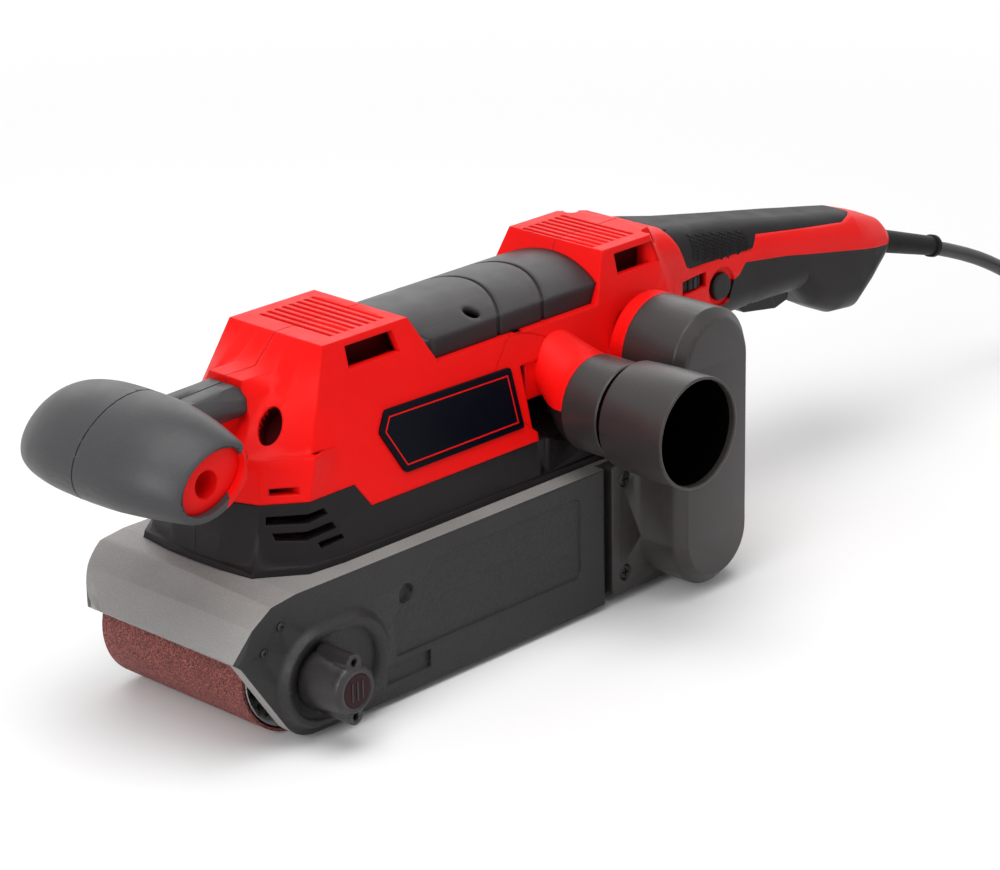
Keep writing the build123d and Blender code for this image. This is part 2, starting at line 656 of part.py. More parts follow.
def dust_elbow():
    bore = elbow_volume(ELBOW_WALL) + rod_y(DUCT_X, DUCT_Z, 15.8, DUCT_START_Y - 1.7, 49)
    return (elbow_volume() - bore) & block(-100, 20, ELBOW_ROOT_Y, DUCT_START_Y, 50, 130)


def dust_adapter():
    body = rod_y(DUCT_X, DUCT_Z, 15.2, DUCT_START_Y - 1.2, DUCT_START_Y + 1)
    body += rod_y(DUCT_X, DUCT_Z, 18.5, DUCT_START_Y, SLEEVE_Y - 1.2)
    body += rod_y(DUCT_X, DUCT_Z, 17.6, SLEEVE_Y - 1.4, SLEEVE_Y + 0.2)
    body += rod_y(DUCT_X, DUCT_Z, 21.3, SLEEVE_Y, RIM_Y)
    sharp = body.edges().filter_by(GeomType.CIRCLE).filter_by(lambda e: e.radius > 21)
    body = fillet(sharp, 0.7)
    body -= rod_y(DUCT_X, DUCT_Z, 13.6, 30, 120)
    body -= rod_y(DUCT_X, DUCT_Z, 19.0, SLEEVE_Y + 1.5, 120)
    return body


def through_wall(outlines, side):
    """Openings of one side wall, given in side view."""
    y0, y1 = sorted((side * 20.0, side * 46.0))
    return [along_y(polygon(*outline), y0, y1) for outline in outlines]


def base_half(side):
    solid = body_volume() - body_volume(WALL, bottom=ROOF_TOP - 5, top=CROWN_Z - WALL)
    solid &= base_region()
    rim = body_volume(-1.4, top=CROWN_Z) & block(-150, 130, -60, 60, ROOF_TOP, ROOF_TOP + 2.4)
    solid += rim - body_volume(WALL, bottom=ROOF_TOP - 5, top=CROWN_Z - WALL)
    solid -= through_wall(BASE_SLOTS, side)
    if side > 0:
        back, floor_z = DUCT_POCKET_Y - 2.6, SPLIT_SIDE_Z - 2.6
        solid += block(*DUCT_POCKET_X, back, DUCT_POCKET_Y, floor_z, DUCT_POCKET_TOP)
        solid += block(*DUCT_POCKET_X, back, 38.4, floor_z, SPLIT_SIDE_Z)
        solid -= block(-33.5, -28.5, 38.2, 50, ROOF_TOP + 2.4, SPLIT_SIDE_Z + 1)
        solid -= crown_wheel_boss(30, 60)
        solid -= elbow_volume()
        return left(solid)
    return right(solid)


# ---------------------------------------------------------------- handles
def grip_axis(bow):
    """Centre of the bowed front handle, in side view, at one ring."""
    return GRIP_MIDDLE[0] + GRIP_BOW[0] * bow, GRIP_MIDDLE[1] + GRIP_BOW[1] * bow


def grip_ellipse(y, bow, section):
    """Tilted oval of the front handle, in a plane across the machine."""
    return xz_plane(y) * (Pos(*grip_axis(bow)) * Rot(0, 0, GRIP_TILT) * Ellipse(*section))


def grip_volume(shrink=0.0):
    """Bowed barrel of the front handle; drawn in, it ends in the flat hubs."""
    rings = []
    for y, bow, share in GRIP_RINGS:
        rings.append((y, bow, [axis * share - shrink for axis in GRIP_SECTION]))
    if shrink:
        rings = [ring for ring in rings if ring[0] <= HUB_Y - 2] + [(HUB_Y, HUB_BOW, HUB_SECTION)]
    rings = [(-y, bow, section) for y, bow, section in rings[:0:-1]] + rings
    return loft([grip_ellipse(*ring) for ring in rings], ruled=True)


def hub_rod(y0, y1):
    x, z = grip_axis(HUB_BOW)
    return along_y(Pos(x, z) * Rot(0, 0, GRIP_TILT) * Ellipse(*HUB_SECTION), y0, y1)


def neck(half_width):
    outline = polygon((80, 98), (98, 92), (108, 92), (122, 96), (124, 112), (80, 112))
    return along_y(outline, -half_width, half_width)


def arm_volume():
    """Six-sided arm that carries the barrel."""
    outline = soft_polygon(2, (87.6, 104), (87.6, 119.2), (108, 118.1), (124, 117.6), (124, 104))
    half = [(6.4, 120), (6.4, 118.8), (ARM_HALF_WIDTH, 114.8), (ARM_HALF_WIDTH, 110.6), (4.6, 104.6)]
    section = polygon(*half, *[(-y, z) for y, z in half[::-1]])
    return along_y(outline, -20, 20) & along_x(section, 80, 130)


def front_core():
    core = grip_volume(SKIN) + neck(NECK_HALF_WIDTH)
    x, z = grip_axis(HUB_BOW)
    for side in (-1, 1):
        y0, y1 = sorted((side * (HUB_Y - 12.0), side * (HUB_Y + 3.0)))
        core -= rod_y(x + 1.0, z - 1.1, HUB_HOLE_RADIUS, y0, y1)
    return core


def front_grip_right():
    skin = grip_volume() + arm_volume()
    skin -= grip_volume(SKIN)
    skin -= neck(NECK_HALF_WIDTH + 0.05)
    skin -= hub_rod(30, 60) + hub_rod(-60, -30)
    for side in (-1, 1):
        y0, y1 = sorted((side * ARM_HALF_WIDTH, side * 60))
        skin -= block(90, SKIN_REAR_X, y0, y1, 60, 140)
    skin -= block(90, SKIN_REAR_X, -ARM_HALF_WIDTH - 1, ARM_HALF_WIDTH + 1, 60, 104.5)
    skin -= collar()
    skin -= body_volume()
    return right(skin)


def collar():
    outline = polygon((-8.6, 121), (8.6, 121), (12, 115), (12, 100), (-12, 100), (-12, 115))
    return along_x(outline, 68, 87.6)


def handle_volume(inset=0.0):
    sections = []
    for x, top, low, half_width, radius in HANDLE_SECTIONS:
        if x == HANDLE_SECTIONS[-1][0]:
            x += inset
        plane = Plane(origin=(x, 0, 0), x_dir=(0, 1, 0), z_dir=(1, 0, 0))
        width, height = 2 * (half_width - inset), top - low - 2 * inset
        corner = max(0.4, min(radius - inset, width / 2 - 0.05, height / 2 - 0.05))
        sections.append(plane * (Pos(0, (top + low) / 2) * RectangleRounded(width, height, corner)))
    return loft(sections, ruled=True)


def grip_region():
    return along_y(
        polygon((-126.5, 140), (-127.2, 126.2), (-135.4, 110.2), (-138, 109), (-178, 107.4), (-182, 112),
                (-240, 103), (-256, 104.2), (-256, 140)), -60, 60)


def shell_region():
    return along_y(
        polygon((-140, 40), (-140, 82), (-152, 86.5), (-163, 89), (-166.5, 97.4), (-169.6, 98.4),
                (-173.7, 102.6), (-200, 99), (-259, 87.6), (-300, 80), (-300, 40)), -60, 60)


def on_relief_axis(distance):
    return RELIEF_START + RELIEF_AXIS * distance


def relief_rod(radius, start, end):
    plane = Plane(origin=on_relief_axis(start), x_dir=(0, 1, 0), z_dir=RELIEF_AXIS)
    return extrude(plane * Circle(radius), amount=end - start)


def red_handle():
    outer = handle_volume()
    under_grip = handle_volume(HANDLE_SKIN)
    band = outer - grip_region() - shell_region()
    body = band + (under_grip & grip_region()) - handle_volume(2 * HANDLE_SKIN)
    return body - relief_rod(6.2, -9, -4) - relief_rod(5.0, -20, 12)


def handle_shell(side):
    solid = (handle_volume() & shell_region()) - handle_volume(2 * HANDLE_SKIN)
    solid -= block(-215, -175, -8.2, 8.2, 50, 94)
    solid -= relief_rod(6.2, -9, -4) + relief_rod(5.0, -20, 12)
    x, z = TRIGGER_PIVOT
    solid += rod_y(x, z, 4.0, 8.6, 13.0) + rod_y(x, z, 4.0, -13.0, -8.6)
    solid -= rod_y(x, z, 2.0, -13.0, 13.0)
    return left(solid) if side > 0 else right(solid)


def rear_grip():
    return (handle_volume() & grip_region()) - handle_volume(HANDLE_SKIN) - body_volume()


def housing_half(side):
    cavity = body_volume(WALL, bottom=ROOF_TOP - 5, top=CROWN_Z - WALL) - saddle_prism(WALL)
    solid = body_volume() - cavity - base_region() - saddle_prism()
    well = block(SADDLE_X[0] + 2, SADDLE_X[1] - 2, -23.4, 23.4, 100, SADDLE_Z + 1)
    solid -= well
    seat = rod_x(0, MOTOR_Z, STATOR_RADIUS, 10, 70) & block(10, 70, -STATOR_FLAT, STATOR_FLAT, 0, 200)
    for x in (STATOR_X[0] + 3, STATOR_X[1] - 7):
        solid += (block(x, x + 4, -50, 50, SPLIT_FRONT_Z, 118) & cavity) - seat
    for (x0, x1), bore in ((FRONT_BEARING_X, 9.5), (REAR_BEARING_X, 11.0)):
        low = SPLIT_FRONT_Z if x0 > 0 else SPLIT_SIDE_Z
        wall = block(x0, x1, -50, 50, low, SADDLE_Z - 2.6) & cavity
        solid += wall - rod_x(0, MOTOR_Z, bore, x0 - 1, x1 + 1)
    for y0, y1 in ((19.8, 33), (-33, -19.8)):
        solid += rod_y(CROSS_X, MOTOR_Z, 12.6, y0, y1) & body_volume(0.5)
    solid += red_handle() - body_volume()
    solid -= handle_volume(2 * HANDLE_SKIN) & block(-140, -118, -40, 40, 60, 140)
    solid += collar() - body_volume(WALL)
    solid += front_core() - body_volume(WALL)
    behind_bearing = block(FRONT_BEARING_X[1] + 0.2, 110, -20, 20, LEDGE_Z + 0.2, 120)
    solid += neck(9.6) & body_volume(WALL) & behind_bearing
    solid -= rod_y(CROSS_X, MOTOR_Z, 10.0, -26.05, 26.05)
    solid -= rod_y(CROSS_X, MOTOR_Z, 5.4, -28.5, 60)
    solid -= hump_grooves()
    solid -= hump_windows()
    for x, y in HUMP_WELLS:
        solid += rod_z(x, y, 5.0, 114, CROWN_Z) & body_volume(0.6)
        solid -= rod_z(x, y, 3.0, 125.5, CROWN_Z + 1)
    solid -= body_screw_recess()
    solid -= through_wall([FRONT_SLIT], side)
    if side > 0:
        solid += crown_wheel_boss(33.5, COVER_BACK_Y) - body_volume(WALL)
        solid -= crown_wheel_boss(30.0, COVER_BACK_Y - 3, 2.6)
        solid -= rod_y(CROSS_X, MOTOR_Z, 5.4, 20, 60)
        solid -= duct_pocket()
        solid -= elbow_volume()
        x, z = LOCK_CENTRE
        solid -= rod_y(x, z, 5.6, 5, 30) + rod_y(x, z, 8.0, 16.0, 30)
        solid -= block(-148.5, -132.5, 10, 30, 99, 105)
        solid -= block(-152.6, -128.4, 5, 15, 98.8, 105.2)
        return left(solid)
    return right(solid)


def hump_grooves():
    cuts = []
    for first in (28.5, -104.5):
        for i in range(8):
            x = first + i * 3.6
            cuts.append(Pos(x, 0, CROWN_Z) * Box(1.7, 37, 1.8))
    return cuts


def hump_windows():
    """Air windows in the side walls of both humps."""
    z0, z1 = WINDOW_Z
    cuts = []
    for x0, x1 in WINDOW_X:
        outline = polygon((x0, z0), (x1, z0), (x1, z1), (x0 + 2, z1))
        cuts += [along_y(outline, -32, -20), along_y(outline, 20, 32)]
    return cuts


def body_screw_recess():
    """Deep oval screw well in the front facet, one on each side."""
    wells = []
    for side in (-1, 1):
        facing = (0.70, side * 0.36, 0.62)
        plane = Plane(origin=(86.5, side * 20.0, 107.4), x_dir=(-0.45, side * 0.89, 0), z_dir=facing)
        wells.append(extrude(plane * Ellipse(4.2, 7.4), amount=-12))
    return wells


def top_cover():
    side_z, lip = 120.0, SADDLE_Z + 0.05
    arch = Pos(0, 127 - 50) * Circle(50)
    outline = (arch & Pos(0, 130) * Rectangle(51, 20 + 2 * 10)) + polygon(
        (-25.5, lip + 1), (25.5, lip + 1), (25.5, side_z), (-25.5, side_z))
    rim = polygon((-24.6, lip), (24.6, lip), (24.6, lip + 1.1), (-24.6, lip + 1.1))
    solid = along_x(outline + rim, -90, 30)
    inner_arch = Pos(0, 127 - 50) * Circle(47.6)
    hollow = (inner_arch & Pos(0, 130) * Rectangle(45.8, 40)) + polygon(
        (-22.9, 100), (22.9, 100), (22.9, 118.5), (-22.9, 118.5))
    solid -= along_x(hollow, SADDLE_X[0] + 3, SADDLE_X[1] - 3)
    rear, front = SADDLE_X
    rear_top, front_top = HUMP_X
    solid &= along_y(
        polygon((rear + 0.5, SADDLE_Z), (front - 0.5, SADDLE_Z), (front_top - 0.2, CROWN_Z),
                (rear_top + 0.3, CROWN_Z)), -40, 40)
    for x, y in COVER_HOLES:
        solid -= rod_z(x, y, 3.2, 118, 130)
        solid -= rod_z(x, y, 1.6, 110, 130)
        solid += rod_z(x, y, 4.2, SADDLE_Z + 2, 118) - rod_z(x, y, 1.6, 110, 130)
    for x in (-24.0, -47.5):
        groove = tube_z(x + 30, 0, 39.4, 38.0, 110, 130) & block(-90, 30, -30, 30, 100, 130)
        solid -= groove & (along_x(outline, -90, 30) - along_x(
            (Pos(0, 77) * Circle(49.2) & Pos(0, 130) * Rectangle(49.4, 40)) + polygon(
                (-24.7, 100), (24.7, 100), (24.7, 120), (-24.7, 120)), -95, 35))
    return solid


def tube_z(x, y, outer, inner, z0, z1):
    return rod_z(x, y, outer, z0, z1) - rod_z(x, y, inner, z0 - 1, z1 + 1)


def top_cover_screws():
    screws = [rod_z(x, y, 1.55, SADDLE_Z - 6, 118) + rod_z(x, y, 2.9, 118, 119.6) for x, y in COVER_HOLES]
    return Compound(children=screws)


def label_plate():
    outline = soft_polygon(1.2, (41.8, 103.1), (46.5, 96), (38, 79.8), (-23.3, 79.8), (-22.2, 102.2))
    low, high = side_half_width(70), side_half_width(110)
    slab = polygon((low + 0.02, 70), (low + 0.9, 70), (high + 0.9, 110), (high + 0.02, 110))
    return (along_y(outline, 20, 50) & along_x(slab, -40, 60)) - elbow_volume(-0.4)


# ---------------------------------------------------------------- controls
def trigger():
    x, z = TRIGGER_PIVOT
    outline = polygon((-177.6, 90), (-177.2, 82), (-184, 76.8), (-204, 73.6), (-212, 75.6), (-212.6, 84),
                      (-199, 84), (-197, 88), (-187, 90))
    return along_y(fillet(outline.vertices(), 1.2), -7.6, 7.6) - rod_y(x, z, 2.05, -10, 10)


def trigger_pin():
    x, z = TRIGGER_PIVOT
    return rod_y(x, z, 2.0, -12.9, 12.9)


def trigger_spring():
    helix = Pos(-206, 0, 84.5) * Helix(pitch=1.9, height=8.0, radius=2.6)
    section = Plane(origin=helix @ 0, z_dir=helix % 0) * Circle(0.45)
    return sweep(section, path=helix, is_frenet=True)


def switch_module():
    body = block(-212, -188, -7.5, 7.5, 93, 103.6) + block(-196, -190, -3, 3, 91, 93)
    return Compound(children=[body, dial_post()])


def lock_button():
    x, z = LOCK_CENTRE
    body = rod_y(x, z, 5.4, 9.2, 18.2)
    return chamfer(body.edges().filter_by(GeomType.CIRCLE).sort_by(Axis.Y)[-1], 0.6)


def speed_dial():
    x, y = DIAL_CENTRE
    outline = Circle(11.7)
    notches = [Rot(0, 0, i * 15) * (Pos(11.9, 0) * Circle(0.7)) for i in range(24)]
    return along_z(Pos(x, y) * (outline - (Sketch() + notches)), 99.7, 104.3) - rod_z(x, y, 2.05, 90, 110)


def dial_post():
    x, y = DIAL_CENTRE
    return rod_z(x, y, 2.0, 96.5, 107.0) + block(x - 6, x + 6, y - 8, y + 5, 95.2, 96.6)


# ---------------------------------------------------------------- cord and plug
def relief_sleeve():
    plane = Plane(origin=on_relief_axis(-9), x_dir=(0, 1, 0), z_dir=RELIEF_AXIS)
    tip = plane.offset(9 + RELIEF_LENGTH)
    taper = loft([plane * Circle(5.0), plane.offset(12) * Circle(5.0), tip * Circle(4.2)], ruled=True)
    body = taper + relief_rod(6.1, -9, -4) + relief_rod(4.9, RELIEF_LENGTH - 2.6, RELIEF_LENGTH)
    return body - relief_rod(CORD_DIAMETER / 2, RUN_START, RELIEF_LENGTH + 5)


def rounded_path(points):
    """Straight runs joined by the largest even arcs that they allow."""
    corners = [Vector(*p) for p in points]
    radii = []
    for before, corner, after in zip(corners, corners[1:], corners[2:]):
        turn = (corner - before).get_angle(after - corner)
        shorter = min((corner - before).length, (after - corner).length)
        radii.append(0.45 * shorter / sin(radians(turn / 2)) * cos(radians(turn / 2)))
    return FilletPolyline(*points, radius=radii), radii


def cord_tube(path):
    section = Plane(origin=path @ 0, z_dir=path % 0) * Circle(CORD_DIAMETER / 2)
    tube = sweep(section, path=path)
    expected = pi * CORD_DIAMETER ** 2 / 4 * path.length
    print(f"  tube {path.length:.1f} mm, volume {tube.volume:.0f} of {expected:.0f} mm3")
    return tube


def cord_run():
    path, radii = rounded_path(RUN_ROUTE)
    print("cord_run radii", [round(r) for r in radii])
    return cord_tube(path)


def coil_half_turns():
    """Radius of each half turn, with the layer's climb as a flag."""
    steps = HALF_TURNS_IN_LAYER
    turns = []
    radius, direction = COIL_RADIUS, -1
    for layer, count in enumerate(steps):
        for _ in range(count):
            turns.append((radius, 0.0))
            radius += direction * HALF_STEP
        if layer < len(steps) - 1:
            turns.append((radius, LAYER_RISE))
            direction = -direction
            radius += direction * HALF_STEP
    return turns


def coil_edges():
    """Half circles of the spiral and two tangent arcs for each climb."""
    here = Vector(COIL_X, 0, FLOOR_Z)
    edges = [Edge.make_line(here + Vector(LEAD, 0, 0), here)]
    heading = -1
    for radius, rise in coil_half_turns():
        there = here + Vector(0, -heading * 2 * radius, rise)
        reach = sqrt(radius ** 2 + rise ** 2 / 4)
        middle = (here + there) * 0.5 + Vector(heading * reach, 0, 0)
        start = Vector(heading, 0, 0)
        chord = (middle - here).normalized()
        tangent = chord * (2 * start.dot(chord)) - start
        edges.append(Edge.make_tangent_arc(here, start, middle))
        edges.append(Edge.make_tangent_arc(middle, tangent, there))
        here, heading = there, -heading
    edges.append(Edge.make_line(here, here + Vector(heading * LEAD, 0, 0)))
    return edges


def coil_gap(edges):
    """Least distance between stretches of the coil that aren't neighbours."""
    places, travelled = [], 0.0
    for edge in edges:
        count = max(2, ceil(edge.length / 2.0))
        for i in range(count):
            places.append((travelled + edge.length * i / count, edge @ (i / count)))
        travelled += edge.length
    least = 1000.0
    for i, (s, p) in enumerate(places):
        for t, q in places[i + 1:]:
            if t - s > 45 and abs(p.Z - q.Z) < 8 and abs(p.X - q.X) < 8 and abs(p.Y - q.Y) < 8:
                least = min(least, (p - q).length)
    return least - CORD_DIAMETER


def cord_coil():
    edges = coil_edges()
    print(f"cord_coil gap to itself {coil_gap(edges):.2f} mm")
    return cord_tube(Wire(edges))


def tail_route():
    end = coil_edges()[-1] @ 1
    x, y, z = end.X, end.Y, end.Z
    return [(x, y, z), (x - 15, y, z), (x - 33, y + 0.6, z - 6.4), (x - 52, y + 2.4, 11.4),
            (x - 72, y + 6.4, 7.6), (x - 90, y + 12.0, 7.5)]


def cord_tail():
    path, radii = rounded_path(tail_route())
    print("cord_tail radii", [round(r) for r in radii])
    return cord_tube(path)


def plug():
    route = [Vector(*p) for p in tail_route()]
    forward = Vector(route[-1].X - route[-2].X, route[-1].Y - route[-2].Y, 0).normalized()
    plane = Plane(origin=route[-1], x_dir=(0, 0, 1), z_dir=forward)
    relief = loft([plane * Circle(3.9), plane.offset(16) * Circle(5.6)])
    body = loft([
        plane.offset(14) * RectangleRounded(12.0, 17.0, 5.0),
        plane.offset(22) * RectangleRounded(14.9, 27.0, 6.0),
        plane.offset(46) * RectangleRounded(14.9, 33.0, 6.0),
    ], ruled=True)
    pins = [extrude(plane.offset(46) * (Pos(0, side * 9.5) * Circle(2.4)), amount=19) for side in (-1, 1)]
    return relief + body + pins


# ---------------------------------------------------------------- build
NODES = {
    "sander_frame": frame,
    "platen": platen,
    "graphite_pad": graphite_pad,
    "sanding_belt": sanding_belt,
    "front_roller": front_roller,
    "front_roller_bearings": front_roller_bearings,
    "front_roller_axle": front_roller_axle,
    "tension_fork": tension_fork,
    "tension_spring": tension_spring,
    "tension_lever": tension_lever,
    "lever_pin": lever_pin,
    "tracking_knob": tracking_knob,
    "tracking_cam": tracking_cam,
    "drive_roller": drive_roller,
    "drive_roller_shaft": drive_roller_shaft,
    "drive_roller_bearings": drive_roller_bearings,
    "large_pulley": large_pulley,
    "ribbed_belt": ribbed_belt,
    "small_pulley": small_pulley,
    "drive_cover": drive_cover,
    "frame_screws": frame_screws,
    "cross_shaft": cross_shaft,
    "cross_shaft_bearings": cross_shaft_bearings,
    "bevel_gear": bevel_gear,
    "bevel_pinion": bevel_pinion,
    "armature_shaft": armature_shaft,
    "armature_core": armature_core,
    "armature_winding": armature_winding,
    "commutator": commutator,
    "cooling_fan": cooling_fan,
    "motor_bearings": motor_bearings,
    "stator_core": stator_core,
    "field_windings": field_windings,
    "brush_holders": brush_holders,
    "carbon_brushes": carbon_brushes,
    "base_left": lambda: base_half(1),
    "base_right": lambda: base_half(-1),
    "housing_left": lambda: housing_half(1),
    "housing_right": lambda: housing_half(-1),
    "dust_elbow": dust_elbow,
    "dust_adapter": dust_adapter,
    "top_cover": top_cover,
    "top_cover_screws": top_cover_screws,
    "label_plate": label_plate,
    "front_grip_left": lambda: mirror(front_grip_right(), about=Plane.XZ),
    "front_grip_right": front_grip_right,
    "rear_grip": rear_grip,
    "handle_shell_left": lambda: handle_shell(1),
    "handle_shell_right": lambda: handle_shell(-1),
    "trigger": trigger,
    "trigger_pin": trigger_pin,
    "trigger_spring": trigger_spring,
    "lock_button": lock_button,
    "speed_dial": speed_dial,
    "switch_module": switch_module,
    "strain_relief": relief_sleeve,
    "cord_run": cord_run,
    "cord_coil": cord_coil,
    "cord_tail": cord_tail,
    "plug": plug,
}


def main():
    os.makedirs("parts", exist_ok=True)
    for name, make in NODES.items():
        shape = make()
        if isinstance(shape, (list, ShapeList)):
            shape = Compound(children=list(shape))
        export_step(shape, f"parts/{name}.step")
        print(f"{name:24s} {len(shape.solids())} solids, {shape.volume:9.0f} mm3")


if __name__ == "__main__":
    main()
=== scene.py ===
"""Handheld belt sander for 75 x 533 mm belts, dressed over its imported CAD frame.

The model is in metres.  Sizes are in metres too, apart from those that a class
or a function gives in millimetres.  +X runs to the front handle, +Y to the dust
port and the drive cover, +Z up from the sanding face.
"""
from __future__ import annotations

import json
import logging
import math
from collections.abc import Callable, Iterable, Iterator, Sequence
from contextlib import contextmanager
from dataclasses import dataclass, field
from enum import Enum

import bmesh
import bpy
from mathutils import Matrix, Vector

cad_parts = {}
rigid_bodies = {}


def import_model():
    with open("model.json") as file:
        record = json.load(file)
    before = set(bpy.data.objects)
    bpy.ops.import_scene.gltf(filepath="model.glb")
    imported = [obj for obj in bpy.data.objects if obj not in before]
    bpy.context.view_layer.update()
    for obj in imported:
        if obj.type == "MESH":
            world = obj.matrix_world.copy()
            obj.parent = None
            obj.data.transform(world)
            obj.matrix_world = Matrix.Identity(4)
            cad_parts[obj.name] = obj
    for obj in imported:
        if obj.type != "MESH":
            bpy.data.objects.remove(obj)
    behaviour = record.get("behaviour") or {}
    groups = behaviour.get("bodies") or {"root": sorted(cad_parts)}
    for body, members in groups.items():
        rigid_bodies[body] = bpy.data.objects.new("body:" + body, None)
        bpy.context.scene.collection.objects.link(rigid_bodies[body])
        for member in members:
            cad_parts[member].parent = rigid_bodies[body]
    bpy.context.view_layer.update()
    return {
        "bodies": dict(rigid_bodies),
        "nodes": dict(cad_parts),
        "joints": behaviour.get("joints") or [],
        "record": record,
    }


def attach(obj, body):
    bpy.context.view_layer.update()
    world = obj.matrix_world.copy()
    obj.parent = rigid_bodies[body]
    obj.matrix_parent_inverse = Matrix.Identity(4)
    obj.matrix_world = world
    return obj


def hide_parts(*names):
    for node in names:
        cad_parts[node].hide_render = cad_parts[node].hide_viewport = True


LOG = logging.getLogger("belt_sander")
MM = 0.001
MERGE = 2e-6  # points this close are one
ON_PLANE = 1e-6  # points this close to a cut lie on it
SIDES = ((1, "left"), (-1, "right"))
Colour = tuple[float, float, float]
Point = tuple[float, float, float]
Outline = Sequence[tuple[float, float]]
Socket = bpy.types.NodeSocket


def linear(red: int, green: int, blue: int) -> Colour:
    """Turn an 8 bit display colour into the linear values that a shader takes."""
    parts = [c / 255 for c in (red, green, blue)]
    return tuple(c / 12.92 if c <= 0.04045 else ((c + 0.055) / 1.055) ** 2.4 for c in parts)


def paler(colour: Colour, gain: float, lift: float) -> Colour:
    """A lighter colour, for worn edges and specks."""
    return tuple(min(1.0, c * gain + lift) for c in colour)


# ------------------------------------------------------------------ finishes
class Graph:
    """A node tree, with short calls for its nodes."""

    family = "ShaderNode"

    def __init__(self, tree: bpy.types.NodeTree) -> None:
        """Wrap a node tree."""
        self.nodes, self.links = tree.nodes, tree.links

    def add(self, kind: str, inputs: dict[str | int, object], **settings: object) -> bpy.types.Node:
        """Add one node.

        Args:
            kind: the node's type name, in full or after the tree's own family.
            inputs: sockets by name or number, each a number, a colour or another socket.
            settings: the node's own properties.

        Returns:
            The new node.
        """
        full = kind if kind.startswith(("ShaderNode", "FunctionNode")) else self.family + kind
        node = self.nodes.new(full)
        for key, value in settings.items():
            setattr(node, key, value)
        for key, value in inputs.items():
            if isinstance(value, Socket):
                self.links.new(value, node.inputs[key])
            else:
                node.inputs[key].default_value = value
        return node

    def between(self, value: Socket, low: float, high: float, to_low: float = 0.0,
                to_high: float = 1.0) -> Socket:
        """Map a value's range to another, clamped at both ends."""
        return self.add("MapRange", {"Value": value, "From Min": low, "From Max": high, "To Min": to_low,
                                     "To Max": to_high}).outputs[0]

    def calculate(self, operation: str, a: object, b: object) -> Socket:
        """One step of arithmetic."""
        return self.add("ShaderNodeMath", {0: a, 1: b}, operation=operation).outputs[0]

    def times(self, a: object, b: object) -> Socket:
        """Product of two numbers."""
        return self.calculate("MULTIPLY", a, b)

    def blend(self, share: object, first: object, second: object) -> Socket:
        """Mix two colours.

        Args:
            share: how much of the second one shows, from 0 to 1.
            first: a colour or a socket.
            second: a colour or a socket.

        Returns:
            The mixed colour.
        """
        node = self.add("Mix", {}, data_type="RGBA")
        for socket, value in ((node.inputs[0], share), (node.inputs[6], first), (node.inputs[7], second)):
            if isinstance(value, Socket):
                self.links.new(value, socket)
            elif isinstance(value, tuple):
                socket.default_value = (*value, 1.0)
            else:
                socket.default_value = value
        return node.outputs[2]

    def tint(self, mask: Socket, share: float, colour: object, over: object) -> Socket:
        """Lay one colour over another where a mask is 1, by that share."""
        return self.blend(self.times(mask, share), colour, over)


class Surface(Graph):
    """A new material with a principled shader, read in object coordinates."""

    def __init__(self, name: str) -> None:
        """Start an empty material.

        Args:
            name: the material's name.
        """
        self.material = bpy.data.materials.new(name)
        self.material.use_nodes = True
        super().__init__(self.material.node_tree)
        self.nodes.clear()
        self.shader = self.nodes.new("ShaderNodeBsdfPrincipled")
        self.output = self.nodes.new("ShaderNodeOutputMaterial")
        self.links.new(self.shader.outputs["BSDF"], self.output.inputs["Surface"])
        self.place = self.nodes.new("ShaderNodeTexCoord").outputs["Object"]

    def stretched(self, scale: Point) -> Socket:
        """Object coordinates scaled before a pattern reads them."""
        return self.add("Mapping", {"Vector": self.place, "Scale": scale}).outputs[0]

    def noise(self, scale: float, detail: float = 3.0, where: Socket | None = None) -> Socket:
        """Cloudy noise from 0 to 1, with that many cells a metre."""
        return self.add("TexNoise", {"Vector": where or self.place, "Scale": scale,
                                     "Detail": detail}).outputs[0]

    def cells(self, scale: float, where: Socket | None = None) -> Socket:
        """Distance to the nearest of scattered points."""
        return self.add("TexVoronoi", {"Vector": where or self.place, "Scale": scale}).outputs["Distance"]

    def worn_edge(self, reach: float) -> Socket:
        """Find where the surface bends sharply.

        Args:
            reach: how near the bend has to be, in metres.

        Returns:
            A mask that is 1 on an edge and 0 elsewhere.
        """
        soft = self.add("Bevel", {"Radius": reach}, samples=4).outputs[0]
        sharp = self.add("NewGeometry", {}).outputs["Normal"]
        same = self.add("VectorMath", {0: soft, 1: sharp}, operation="DOT_PRODUCT").outputs["Value"]
        return self.between(same, 0.97, 0.75)

    def soft_normal(self, radius: float) -> Socket:
        """Surface normal with its sharp edges rounded by that radius."""
        return self.add("Bevel", {"Radius": radius}, samples=4).outputs[0]

    def bump(self, height: Socket, distance: float, normal: Socket | None = None) -> Socket:
        """Normal tilted by a height of that many metres."""
        bent = {} if normal is None else {"Normal": normal}
        return self.add("Bump", {"Height": height, "Distance": distance, **bent}).outputs[0]

    def wear(self, colour: object, roughness: object, normal: object) -> None:
        """Give the shader its main values, each as a value or a socket.

        Args:
            colour: the base colour.
            roughness: from 0 to 1.
            normal: the bent normal, or None for the plain one.
        """
        for name, value in (("Base Color", colour), ("Roughness", roughness), ("Normal", normal)):
            socket = self.shader.inputs[name]
            if isinstance(value, Socket):
                self.links.new(value, socket)
            elif value is not None:
                socket.default_value = (*value, 1.0) if isinstance(value, tuple) else value


